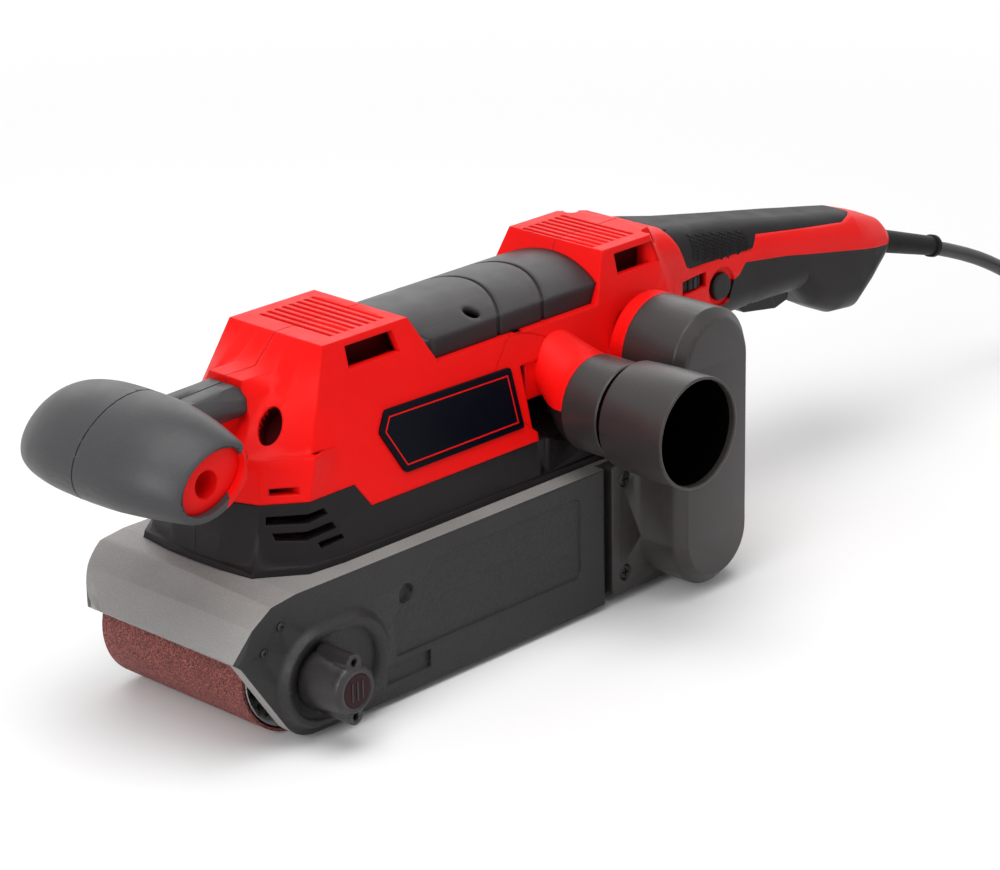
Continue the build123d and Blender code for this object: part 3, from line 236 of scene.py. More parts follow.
@dataclass(frozen=True)
class Moulded:
    """Injection-moulded plastic or rubber with a spark-eroded grain.

    Grain, patches and sheen are cells a metre; depth, edge and rub_reach are metres.
    """

    name: str
    colour: Colour
    roughness: float
    grain: float = 2200.0
    depth: float = 0.00006
    speckle: float = 0.0
    edge: float = 0.0005
    rub: float = 0.12
    rub_reach: float = 0.0007
    specular: float = 0.5
    patches: float = 38.0
    patch_tone: float = 0.94
    pores: float = 0.5
    sheen: float = 95.0
    sheen_swing: float = 0.05

    def build(self) -> bpy.types.Material:
        """Make the material.

        Returns:
            The new material.
        """
        graph = Surface(self.name)
        graph.shader.inputs["Specular IOR Level"].default_value = self.specular
        pale = paler(self.colour, 1.5, 0.02)
        dark = tuple(c * self.patch_tone for c in self.colour)
        broad = graph.between(graph.noise(self.patches, 4.0), 0.3, 0.7)
        colour = graph.blend(broad, dark, self.colour)
        if self.speckle:
            dots = graph.between(graph.noise(self.grain * 0.8, 2.0), 0.56, 0.7)
            colour = graph.tint(dots, self.speckle, colour, pale)
        colour = graph.tint(graph.worn_edge(self.rub_reach), self.rub, colour, pale)
        fine = graph.noise(self.grain, 2.0)
        pores = graph.between(graph.cells(self.grain * 0.55), 0.0, 0.6)
        height = graph.calculate("ADD", fine, graph.times(pores, self.pores))
        shine = graph.between(graph.noise(self.sheen), 0.25, 0.75, self.roughness - self.sheen_swing,
                              self.roughness + self.sheen_swing)
        graph.wear(colour, shine, graph.bump(height, self.depth, graph.soft_normal(self.edge)))
        return graph.material


@dataclass(frozen=True)
class Metal:
    """Cast, turned or pressed metal, bare or under a thin granular paint.

    Grain and stains are cells a metre; depth, edge and rub_reach are metres.
    """

    name: str
    colour: Colour
    roughness: float
    metallic: float = 1.0
    grain: float = 900.0
    depth: float = 0.00004
    stretch: Point = (1.0, 1.0, 1.0)
    speckle: float = 0.3
    edge: float = 0.0004
    rub: float = 0.4
    rub_reach: float = 0.0006
    specular: float = 0.5
    stains: float = 26.0
    stain: float = 0.35
    stain_tone: float = 0.72
    pits: float = 0.6
    sheen_swing: float = 0.07

    def build(self) -> bpy.types.Material:
        """Make the material.

        Returns:
            The new material.
        """
        graph = Surface(self.name)
        graph.shader.inputs["Metallic"].default_value = self.metallic
        graph.shader.inputs["Specular IOR Level"].default_value = self.specular
        where = graph.stretched(self.stretch)
        pale = paler(self.colour, 1.6, 0.03)
        dark = tuple(c * self.stain_tone for c in self.colour)
        flakes = graph.between(graph.noise(self.grain, 4.0, where), 0.4, 0.66)
        colour = graph.tint(flakes, self.speckle, self.colour, pale)
        stain = graph.between(graph.noise(self.stains, 5.0), 0.38, 0.62)
        colour = graph.tint(stain, self.stain, colour, dark)
        colour = graph.tint(graph.worn_edge(self.rub_reach), self.rub, colour, pale)
        height = graph.calculate("ADD", graph.noise(self.grain, 3.0, where),
                                 graph.times(graph.cells(self.grain * 0.6, where), self.pits))
        shine = graph.between(graph.noise(self.grain * 0.4, 2.0, where), 0.3, 0.7,
                              self.roughness - self.sheen_swing, self.roughness + self.sheen_swing)
        graph.wear(colour, shine, graph.bump(height, self.depth, graph.soft_normal(self.edge)))
        return graph.material


@dataclass(frozen=True)
class Abrasive:
    """Cloth coated with aluminium oxide grit."""

    name: str = "abrasive_cloth"
    grit: float = 1500.0
    depth: float = 0.0006

    def build(self) -> bpy.types.Material:
        """Make the material.

        Returns:
            The new material.
        """
        graph = Surface(self.name)
        cells = graph.add("TexVoronoi", {"Vector": graph.place, "Scale": self.grit})
        tone = graph.add("SeparateColor", {"Color": cells.outputs["Color"]}).outputs[0]
        colour = graph.blend(tone, linear(116, 48, 45), linear(182, 98, 91))
        hollow = graph.between(graph.noise(self.grit * 0.9, 4.0), 0.34, 0.54)
        colour = graph.blend(hollow, linear(74, 30, 28), colour)
        sparkle = graph.between(graph.noise(self.grit * 0.8, 3.0), 0.62, 0.72)
        colour = graph.tint(sparkle, 0.7, colour, linear(206, 142, 128))
        clog = graph.between(graph.noise(60.0, 4.0), 0.45, 0.65)
        colour = graph.tint(clog, 0.25, colour, linear(84, 40, 37))
        grains = graph.between(cells.outputs["Distance"], 0.0, 0.7, 1.0, 0.0)
        height = graph.calculate("ADD", grains, graph.times(hollow, 0.8))
        graph.wear(colour, graph.between(tone, 0.0, 1.0, 0.55, 0.85), graph.bump(height, self.depth))
        return graph.material


class Finish(Enum):
    """Every finish on the machine, with the settings that make its material."""

    RED = Moulded("red_moulding", linear(233, 15, 12), 0.42, grain=2300.0, depth=0.00004, edge=0.0014,
                  specular=0.12)
    BASE = Moulded("black_base_moulding", linear(25, 21, 22), 0.38, depth=0.00004, rub=0.2, specular=0.16)
    COVER = Moulded("charcoal_grained_cover", linear(36, 32, 35), 0.42, grain=2300.0, depth=0.00005,
                    edge=0.0026, speckle=0.1, specular=0.34)
    PORT = Moulded("charcoal_port_moulding", linear(49, 44, 44), 0.34, grain=2400.0, depth=0.00004,
                   edge=0.0012, speckle=0.15, specular=0.42)
    # painted shade: a near-black and a deep red that stand in for the shade in slots, windows, screw
    # wells, the port's back and the adapter's bore and groove
    DARK = Moulded("unlit_inside", linear(5, 4, 4), 0.8, depth=0.00001, specular=0.0)
    SHADED_RED = Moulded("unlit_red_moulding", linear(70, 3, 6), 0.6, depth=0.00001, specular=0.05)
    GRIP = Moulded("soft_grip_skin", linear(56, 56, 58), 0.42, grain=2300.0, depth=0.00004, speckle=0.25,
                   specular=0.35)
    KNOB = Moulded("knob_moulding", linear(36, 33, 34), 0.34, depth=0.00004, rub=0.25, specular=0.42)
    KNOB_FACE = Moulded("knob_face_moulding", linear(40, 9, 10), 0.34, depth=0.00003, specular=0.16)
    RUBBER = Moulded("black_handle_rubber", linear(21, 18, 20), 0.5, grain=2200.0, depth=0.00005,
                     specular=0.12)
    BUTTON = Moulded("button_moulding", linear(27, 24, 26), 0.38, specular=0.2)
    PLATE = Moulded("dark_name_plate", linear(3, 5, 15), 0.34, depth=0.00001, specular=0.08)
    LEAD = Moulded("cord_sheath", linear(27, 25, 27), 0.42, grain=900.0, depth=0.00002, edge=0.0002)
    # painted light and shade: one granular casting paint, as a lit copy on the hood's top and nose and a
    # shaded copy on the rest
    HOOD = Metal("granular_grey_hood", linear(138, 136, 134), 0.44, metallic=0.1, grain=2000.0,
                 depth=0.00009, speckle=0.3, edge=0.0009, specular=0.35)
    CHEEK = Metal("granular_dark_cheek", linear(31, 29, 29), 0.5, metallic=0.0, grain=2000.0,
                  depth=0.00007, speckle=0.2, edge=0.0014, specular=0.35)
    STEEL = Metal("turned_steel", linear(168, 168, 170), 0.3, depth=0.00001, stretch=(1.0, 14.0, 1.0),
                  speckle=0.08)
    BLACKED = Metal("blackened_steel", linear(52, 52, 54), 0.4, metallic=0.9)
    COPPER = Metal("enamelled_copper", linear(184, 104, 62), 0.3, grain=1400.0)
    LAMINATED = Metal("laminated_iron", linear(120, 120, 124), 0.42, stretch=(2600.0 / 900.0, 0.1, 0.1))
    BRASS = Metal("brass", linear(200, 168, 96), 0.3)
    GRAPHITE = Moulded("graphite_cloth", linear(44, 44, 46), 0.45, grain=1100.0)
    CARBON = Moulded("carbon", linear(32, 32, 34), 0.6, grain=1400.0)
    ROLLER_RUBBER = Moulded("roller_rubber", linear(36, 36, 36), 0.7, grain=900.0)
    ABRASIVE = Abrasive()

    def material(self) -> bpy.types.Material:
        """The finish's material, made on first use."""
        found = bpy.data.materials.get(self.value.name)
        return found or self.value.build()


# ------------------------------------------------------------------ mesh work
def finished(name: str, mesh: bpy.types.Mesh, finish: Finish, crease: float = 32.0) -> bpy.types.Object:
    """Put a mesh in the scene with one finish, smooth except across sharp edges.

    Args:
        name: the object's name.
        mesh: its mesh, in place.
        finish: what it is made of.
        crease: least angle in degrees that stays sharp.

    Returns:
        The new object, at the origin.
    """
    mesh.materials.clear()
    mesh.materials.append(finish.material())
    mesh.shade_smooth()
    mesh.set_sharp_from_angle(angle=math.radians(crease))
    made = bpy.data.objects.new(name, mesh)
    bpy.context.scene.collection.objects.link(made)
    level = made.modifiers.new("face_weight", "WEIGHTED_NORMAL")
    level.keep_sharp = True
    return made


@contextmanager
def edited(mesh: bpy.types.Mesh) -> Iterator[bmesh.types.BMesh]:
    """Open a mesh for editing, and write it back at the end.

    Args:
        mesh: the mesh, changed in place.

    Yields:
        Its editable form.
    """
    work = bmesh.new()
    work.from_mesh(mesh)
    yield work
    work.to_mesh(mesh)
    work.free()


def welded(node: bpy.types.Object, name: str) -> bpy.types.Mesh:
    """Copy a CAD node's mesh and join up its loose triangles.

    Args:
        node: the CAD node.
        name: name of the new mesh.

    Returns:
        The joined copy.
    """
    mesh = node.data.copy()
    mesh.name = name
    with edited(mesh) as work:
        bmesh.ops.remove_doubles(work, verts=work.verts, dist=MERGE)
    return mesh


def parted(mesh: bpy.types.Mesh, axis: int, level: float, gap: float) -> None:
    """Draw the face of a parting line back, so that a real gap shows.

    Args:
        mesh: the shell, changed in place.
        axis: 0, 1 or 2 for the axis square to the parting plane.
        level: where the plane is on that axis.
        gap: how far its vertices move along the axis.
    """
    for vertex in mesh.vertices:
        if abs(vertex.co[axis] - level) < MERGE:
            vertex.co[axis] += gap


def repainted(piece: bpy.types.Object, finish: Finish,
              chosen: Callable[[bpy.types.MeshPolygon], bool]) -> None:
    """Give a second finish to some faces of a piece.

    Args:
        piece: the piece.
        finish: the second finish.
        chosen: says of a face whether it gets that finish.
    """
    piece.data.materials.append(finish.material())
    for face in piece.data.polygons:
        if chosen(face):
            face.material_index = 1


def neighbours(outline: Outline) -> Iterable[tuple[Vector, Vector, Vector]]:
    """Each corner of a closed outline, between the one before it and the one after it."""
    corners = [Vector(p) for p in outline]
    return zip(corners[-1:] + corners[:-1], corners, corners[1:] + corners[:1])


def inset(outline: Outline, distance: float) -> list[tuple[float, float]]:
    """Draw a closed outline in by the same distance on every side.

    Args:
        outline: its corners, in anticlockwise order.
        distance: how far each side moves inwards.

    Returns:
        The corners of the smaller outline.
    """
    moved = []
    for before, here, after in neighbours(outline):
        first, second = (here - before).normalized(), (after - here).normalized()
        left_first, left_second = Vector((-first.y, first.x)), Vector((-second.y, second.x))
        split = left_first + left_second
        moved.append(tuple(here + split * (distance / split.dot(left_first))))
    return moved


def softened(outline: Outline, reach: float, steps: int = 4) -> list[tuple[float, float]]:
    """Round each corner of a closed outline.

    Args:
        outline: its corners.
        reach: where the round starts, along both sides of a corner.
        steps: sides of each round.

    Returns:
        The points of the rounded outline.
    """
    rounded = []
    for before, here, after in neighbours(outline):
        start = here + (before - here).normalized() * reach
        end = here + (after - here).normalized() * reach
        for i in range(steps + 1):
            t = i / steps
            rounded.append(tuple((1 - t) ** 2 * start + 2 * t * (1 - t) * here + t * t * end))
    return rounded


def oval(centre: tuple[float, float], half_width: float, half_height: float,
         steps: int = 48) -> list[tuple[float, float]]:
    """Outline of an oval."""
    turns = [2 * math.pi * i / steps for i in range(steps)]
    return [(centre[0] + half_width * math.cos(a), centre[1] + half_height * math.sin(a)) for a in turns]


def box(x0: float, x1: float, z0: float, z1: float) -> Outline:
    """Outline of a rectangle."""
    return ((x0, z0), (x1, z0), (x1, z1), (x0, z1))


def at(outline: Outline, y: float) -> list[Point]:
    """An XZ outline at one level of Y, turned from millimetres into metres."""
    return [(x * MM, y * MM, z * MM) for x, z in outline]


def slab(rings: Sequence[Sequence[Point]], closed: bool = True) -> bpy.types.Mesh:
    """Skin a row of equal rings into a closed solid.

    Args:
        rings: the rings in order, each with the same number of points.
        closed: True to cap both ends, False to join the last ring to the first.

    Returns:
        The mesh.
    """
    mesh = bpy.data.meshes.new("slab")
    with edited(mesh) as work:
        rows = [[work.verts.new(p) for p in ring] for ring in rings]
        for a, b in list(zip(rows, rows[1:])) + ([] if closed else [(rows[-1], rows[0])]):
            for i in range(len(a)):
                j = (i + 1) % len(a)
                work.faces.new((a[i], a[j], b[j], b[i]))
        if closed:
            work.faces.new(rows[0])
            work.faces.new(rows[-1])
        bmesh.ops.recalc_face_normals(work, faces=work.faces)
    return mesh


def prism(outline: Outline, near: float, far: float) -> bpy.types.Mesh:
    """A solid of one XZ outline from one level of Y to another, all in millimetres."""
    return slab([at(outline, near), at(outline, far)])


def spun(profile: Outline, centre: tuple[float, float], steps: int = 96) -> bpy.types.Mesh:
    """Turn a closed profile about an axis along Y, all in millimetres.

    Args:
        profile: (y, radius) pairs, in order round the section.
        centre: the axis's X and Z.
        steps: faces round the axis.

    Returns:
        The closed mesh.
    """
    rings = []
    for i in range(steps):
        angle = 2 * math.pi * i / steps
        c, s = math.cos(angle), math.sin(angle)
        rings.append([((centre[0] + r * c) * MM, y * MM, (centre[1] + r * s) * MM) for y, r in profile])
    mesh = slab(rings, closed=False)
    with edited(mesh) as work:
        bmesh.ops.remove_doubles(work, verts=work.verts, dist=ON_PLANE)
        bmesh.ops.dissolve_degenerate(work, dist=ON_PLANE / 10, edges=work.edges)
        bmesh.ops.recalc_face_normals(work, faces=work.faces)
    return mesh


def bisected(mesh: bpy.types.Mesh, cuts: Iterable[tuple[Vector | Point, Vector | Point]]) -> None:
    """Cut a mesh's faces along planes, and keep both sides.

    Args:
        mesh: the mesh, changed in place.
        cuts: a point and a normal of each plane, in metres.
    """
    with edited(mesh) as work:
        for place, normal in cuts:
            everything = work.verts[:] + work.edges[:] + work.faces[:]
            bmesh.ops.bisect_plane(work, geom=everything, plane_co=place, plane_no=normal, dist=ON_PLANE)


def smoothed(rows: Sequence[Sequence[float]], steps: int) -> list[tuple[float, ...]]:
    """Fill in between rows of numbers, on one smooth curve through them.

    Args:
        rows: the rows that the curve passes through.
        steps: rows in each span.

    Returns:
        All the rows, the given ones among them.
    """
    ends = [rows[0], *rows, rows[-1]]
    filled = []
    for span in zip(ends, ends[1:], ends[2:], ends[3:]):
        for i in range(steps):
            t = i / steps
            filled.append(tuple(
                0.5 * (2 * b + (c - a) * t + (2 * a - 5 * b + 4 * c - d) * t**2
                       + (3 * b - a - 3 * c + d) * t**3) for a, b, c, d in zip(*span)))
    return filled + [tuple(rows[-1])]


# ------------------------------------------------------------------ geometry trees
class Tree(Graph):
    """A Geometry Nodes tree with named inputs."""

    family = "GeometryNode"

    def __init__(self, name: str, **inputs: object) -> None:
        """Start a tree.

        Args:
            name: the tree's name.
            inputs: default of each named input; a tuple is a vector, and an object stays unset.
        """
        self.group = bpy.data.node_groups.new(name, "GeometryNodeTree")
        super().__init__(self.group)
        face = self.group.interface
        face.new_socket("Geometry", in_out="INPUT", socket_type="NodeSocketGeometry")
        face.new_socket("Geometry", in_out="OUTPUT", socket_type="NodeSocketGeometry")
        for key, value in inputs.items():
            kind = "Object" if value is None else "Vector" if isinstance(value, tuple) else "Float"
            socket = face.new_socket(key, in_out="INPUT", socket_type="NodeSocket" + kind)
            if value is not None:
                socket.default_value = value
        self.source = self.nodes.new("NodeGroupInput").outputs

    def vector(self, x: object, y: object, z: object) -> Socket:
        """Three numbers as a vector."""
        return self.add("ShaderNodeCombineXYZ", {0: x, 1: y, 2: z}).outputs[0]

    def raised(self, geometry: Socket, rise: object) -> Socket:
        """Geometry moved up its own Z."""
        return self.add("Transform", {"Geometry": geometry,
                                      "Translation": self.vector(0.0, 0.0, rise)}).outputs[0]

    def towards(self, axis: str, way: Socket, **others: Socket) -> Socket:
        """Rotation that turns an axis to a direction, about Z where it starts from another one."""
        pivot = {"pivot_axis": "Z"} if others else {}
        return self.add("FunctionNodeAlignRotationToVector", {"Vector": way, **others}, axis=axis,
                        **pivot).outputs[0]

    def close(self, points: Socket, shape: Socket, rotation: Socket, finish: Finish) -> None:
        """End the tree in real geometry of one finish.

        Args:
            points: where the copies stand.
            shape: what is copied.
            rotation: how each copy is turned.
            finish: what they are made of.
        """
        copies = self.add("InstanceOnPoints", {"Points": points, "Instance": shape,
                                               "Rotation": rotation}).outputs[0]
        real = self.add("RealizeInstances", {0: copies}).outputs[0]
        painted = self.add("SetMaterial", {"Geometry": real, "Material": finish.material()}).outputs[0]
        self.links.new(painted, self.nodes.new("NodeGroupOutput").inputs[0])

    def grow(self, name: str, points: Sequence[Point], **values: object) -> bpy.types.Mesh:
        """Run the tree on loose points and keep the plain mesh.

        Args:
            name: name of the new mesh.
            points: the points that the tree starts from.
            values: named inputs that differ from their defaults.

        Returns:
            The realised mesh, with its material.
        """
        start = bpy.data.meshes.new(name + "_points")
        start.from_pydata(list(points), [], [])
        carrier = bpy.data.objects.new(name + "_points", start)
        bpy.context.scene.collection.objects.link(carrier)
        modifier = carrier.modifiers.new("grow", "NODES")
        modifier.node_group = self.group
        for socket in self.group.interface.items_tree:
            if socket.in_out == "INPUT" and socket.name in values:
                modifier[socket.identifier] = values[socket.name]
        graph = bpy.context.evaluated_depsgraph_get()
        mesh = bpy.data.meshes.new_from_object(carrier.evaluated_get(graph), depsgraph=graph)
        mesh.name = name
        carrier.modifiers.remove(modifier)
        bpy.data.objects.remove(carrier)
        bpy.data.meshes.remove(start)
        return mesh


def screw_tree() -> Tree:
    """Grow pan-head screws with a cross recess, all facing one way.

    Returns:
        A tree that puts one screw on each point.
    """
    tree = Tree("cross_recess_screws", Facing=(0.0, 0.0, 1.0), Head_Radius=2.9 * MM,
                Head_Height=1.6 * MM, Shank_Radius=1.55 * MM, Shank_Length=11.5 * MM)
    radius, height = tree.source["Head_Radius"], tree.source["Head_Height"]
    length = tree.source["Shank_Length"]
    rim_share, flat_share, slot_length, slot_width, slot_depth = 0.55, 0.72, 1.15, 0.24, 1.3
    rim = {"Vertices": 40, "Radius": radius, "Depth": tree.times(height, rim_share)}
    dome = {"Vertices": 40, "Radius Bottom": radius, "Radius Top": tree.times(radius, flat_share),
            "Depth": tree.times(height, 1 - rim_share)}
    shank = {"Vertices": 24, "Radius": tree.source["Shank_Radius"], "Depth": length}
    body = tree.add("MeshBoolean", {}, operation="UNION")
    for kind, sizes, rise in (("MeshCylinder", rim, tree.times(height, rim_share / 2)),
                              ("MeshCone", dome, tree.times(height, rim_share)),
                              ("MeshCylinder", shank, tree.times(length, -0.5))):
        solid = tree.add(kind, sizes, fill_type="NGON").outputs[0]
        tree.links.new(tree.raised(solid, rise), body.inputs["Mesh 2"])
    cut = tree.add("MeshBoolean", {"Mesh 1": body.outputs[0]}, operation="DIFFERENCE")
    long_side, short_side = tree.times(radius, slot_length), tree.times(radius, slot_width)
    for x, y in ((long_side, short_side), (short_side, long_side)):
        slot = tree.add("MeshCube", {"Size": tree.vector(x, y, tree.times(height, slot_depth))}).outputs[0]
        tree.links.new(tree.raised(slot, height), cut.inputs["Mesh 2"])
    tree.close(tree.source["Geometry"], cut.outputs[0], tree.towards("Z", tree.source["Facing"]),
               Finish.STEEL)
    return tree


@dataclass(frozen=True)
class Screw:
    """One size of screw, in millimetres."""

    head_radius: float = 2.9
    head_height: float = 1.6
    shank_radius: float = 1.55
    shank_length: float = 11.5

    def grow(self, tree: Tree, name: str, seats: Iterable[Point],
             facing: Point = (0.0, 0.0, 1.0)) -> bpy.types.Mesh:
        """Grow a screw of this size on each seat.

        Args:
            tree: the screw tree.
            name: name of the new mesh.
            seats: where the heads sit, in millimetres.
            facing: which way the heads face.

        Returns:
            One mesh of all the screws.
        """
        return tree.grow(name, [tuple(c * MM for c in seat) for seat in seats], Facing=facing,
                         Head_Radius=self.head_radius * MM, Head_Height=self.head_height * MM,
                         Shank_Radius=self.shank_radius * MM, Shank_Length=self.shank_length * MM)


def rib_tree(finish: Finish) -> Tree:
    """Grow short raised ribs on a target surface, cast onto it along Y.

    Args:
        finish: what the ribs are made of.

    Returns:
        A tree that puts one rib where each point lands.
    """
    tree = Tree("cast_ribs", Target=None, Length=5.0 * MM, Width=1.0 * MM, Height=0.5 * MM, Slant=0.4)
    source = tree.source
    here = tree.add("InputPosition", {}).outputs[0]
    target = tree.add("ObjectInfo", {"Object": source["Target"]}, transform_space="ORIGINAL")
    ray = tree.add("Raycast", {"Target Geometry": target.outputs["Geometry"], "Source Position": here,
                               "Ray Direction": (0.0, -1.0, 0.0), "Ray Length": 0.05})
    caught = tree.add("CaptureAttribute", {"Geometry": source["Geometry"]})
    for i, (kind, name, output) in enumerate((("VECTOR", "facing", "Hit Normal"),
                                              ("VECTOR", "landing", "Hit Position"),
                                              ("BOOLEAN", "hits", "Is Hit"))):
        caught.capture_items.new(kind, name)
        tree.links.new(ray.outputs[output], caught.inputs[i + 1])
    landed = tree.add("SetPosition", {"Geometry": caught.outputs[0],
                                      "Position": caught.outputs["landing"]}).outputs[0]
    missed = tree.add("FunctionNodeBooleanMath", {0: caught.outputs["hits"]}, operation="NOT").outputs[0]
    kept = tree.add("DeleteGeometry", {"Geometry": landed, "Selection": missed}, domain="POINT").outputs[0]
    size = tree.vector(source["Length"], source["Width"], source["Height"])
    bar = tree.add("MeshCube", {"Size": size}).outputs[0]
    up = tree.towards("Z", caught.outputs["facing"])
    along = tree.towards("X", tree.vector(1.0, 0.0, source["Slant"]), Rotation=up)
    tree.close(kept, bar, along, finish)
    return tree


def ribs(tree: Tree, name: str, starts: Sequence[Point], target: bpy.types.Object, size: Point,
         slant: float) -> bpy.types.Mesh:
    """Cast ribs of one size onto a target.

    Args:
        tree: the rib tree.
        name: name of the new mesh.
        starts: where the ribs are cast from.
        target: what they lie on.
        size: length, width and height, in millimetres.
        slant: rise of each rib over its run along X.

    Returns:
        One mesh of all the ribs.
    """
    length, width, height = (s * MM for s in size)
    return tree.grow(name, starts, Target=target, Length=length, Width=width, Height=height, Slant=slant)


@dataclass
class Assembly:
    """A group of pieces of the machine, built over the nodes of the frame."""

    frame: dict
    nodes: dict[str, bpy.types.Object] = field(init=False)
    body: dict[str, str] = field(init=False)

    def __post_init__(self) -> None:
        """Find the nodes, and which body each one rides on."""
        self.nodes = self.frame["nodes"]
        bodies = self.frame["record"]["behaviour"]["bodies"]
        self.body = {name: body for body, names in bodies.items() for name in names}

    def dress(self, finish: Finish, *names: str) -> None:
        """Give CAD nodes that keep their own mesh a finish.

        Args:
            finish: what the nodes are made of.
            names: the nodes.
        """
        for name in names:
            node = self.nodes[name]
            node.data.materials.clear()
            node.data.materials.append(finish.material())
            LOG.info("%s: CAD mesh in %s", name, finish.value.name)

    def skin(self, finish: Finish, *names: str, crease: float = 32.0,
             gap: float = 0.0) -> list[bpy.types.Object]:
        """Stand a joined, smooth-shaded copy in for each CAD node.

        Args:
            finish: what the pieces are made of.
            names: the nodes.
            crease: least angle in degrees that stays sharp.
            gap: how far each half is drawn back from the seam at Y = 0.

        Returns:
            The new pieces.
        """
        made = []
        for name in names:
            mesh = welded(self.nodes[name], name + "_shell")
            if gap:
                parted(mesh, 1, 0.0, -gap if name.endswith("_right") else gap)
            piece = finished(name + "_shell", mesh, finish, crease)
            self.stand_in(piece, name)
            made.append(piece)
        return made

    def stand_in(self, piece: bpy.types.Object, *names: str) -> None:
        """Let a piece ride on its nodes' body in their place.

        Args:
            piece: the piece.
            names: the nodes that it stands for.
        """
        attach(piece, self.body[names[0]])
        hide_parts(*names)
        LOG.info("%s: stands for %s", piece.name, ", ".join(names))

    def add_on(self, piece: bpy.types.Object, host: str) -> None:
        """Let an added piece ride on the body of a node."""
        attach(piece, self.body[host])
        LOG.info("%s: added on %s", piece.name, self.body[host])


# ------------------------------------------------------------------ mains lead
@dataclass
class MainsLead(Assembly):
    """The free cord: out of the rear handle, down to the floor and into its put-away coil.

    The run before the coil is (X, Z) pairs in millimetres.
    """

    diameter: float = 6.4 * MM
    coil_x: float = -490.4 * MM
    coil_radius: float = 43.5 * MM
    half_step: float = 3.45 * MM
    layers: tuple[int, ...] = (5, 4, 4, 4)
    points_per_half_turn: int = 7
    length: float = 2.51
    run: Outline = ((-290.0, 80.0), (-338.0, 65.6), (-385.0, 41.5), (-412.0, 19.5), (-438.0, 6.4),
                    (-462.0, 3.2), (-484.0, 3.2))

    def half_turns(self) -> list[tuple[float, float]]:
        """Wind the coil, in and out again, layer on layer.

        Returns:
            Radius and rise of each half turn, in the order that they are wound.
        """
        turns, radius, direction = [], self.coil_radius, -1
        for layer, count in enumerate(self.layers):
            for _ in range(count):
                turns.append((radius, 0.0))
                radius += direction * self.half_step
            if layer < len(self.layers) - 1:
                turns.append((radius, 2 * self.half_step))
                direction = -direction
                radius += direction * self.half_step
        return turns

    def route(self) -> list[Point]:
        """Lay out the whole lead, from its exit to its plug.

        Returns:
            Its control points, in metres.
        """
        points = at(self.run, 0.0)
        # a quadratic spline runs inside its control points, which stand off by this much
        swell = 1 / (0.75 + 0.25 * math.cos(math.pi / self.points_per_half_turn))
        y, z, heading = 0.0, self.diameter / 2, -1
        for radius, rise in self.half_turns():
            middle = y - heading * radius
            for i in range(self.points_per_half_turn):
                share = (i + 0.5) / self.points_per_half_turn
                angle = math.pi * share
                points.append((self.coil_x + heading * radius * swell * math.sin(angle),
                               middle + heading * radius * swell * math.cos(angle),
                               z + rise * share * share * (3 - 2 * share)))
            y, z, heading = y - heading * 2 * radius, z + rise, -heading
        x = self.coil_x - self.diameter
        points += [(x, y, z), (x - 15 * MM, y, z), (x - 33 * MM, y + 0.6 * MM, z - 6.4 * MM),
                   (x - 52 * MM, y + 2.4 * MM, 11.4 * MM), (x - 72 * MM, y + 6.4 * MM, 7.6 * MM),
                   (x - 90 * MM, y + 12 * MM, 7.5 * MM)]
        return points

    def build(self) -> None:
        """Lay the cord, its relief and its plug."""
        relief = self.skin(Finish.RUBBER, "strain_relief")[0]
        plug = self.skin(Finish.LEAD, "plug")[0]
        points = self.route()
        curve = bpy.data.curves.new("mains_cord", "CURVE")
        curve.dimensions = "3D"
        spline = curve.splines.new("NURBS")
        spline.points.add(len(points) - 1)
        for place, point in zip(spline.points, points):
            place.co = (*point, 1.0)
        spline.order_u = 3
        spline.use_endpoint_u = True
        spline.resolution_u = 6
        curve.bevel_depth = self.diameter / 2
        curve.bevel_resolution = 5
        curve.use_fill_caps = True
        curve.materials.append(Finish.LEAD.material())
        cord = bpy.data.objects.new("mains_cord", curve)
        bpy.context.scene.collection.objects.link(cord)
        self.stand_in(cord, "cord_run", "cord_coil", "cord_tail")


# ------------------------------------------------------------------ sub-assemblies
@dataclass(frozen=True)
class SideWall:
    """A flat wall of the housing that leans in towards the crown, in millimetres."""

    half_width: float
    crown_z: float = 131.0
    lean: float = 0.2517

    def ring(self, outline: Outline, lift: float) -> list[Point]:
        """An XZ outline laid on the wall and lifted off it, turned into metres."""
        return [(x * MM, (self.half_width + (self.crown_z - z) * self.lean + lift) * MM, z * MM)
                for x, z in outline]


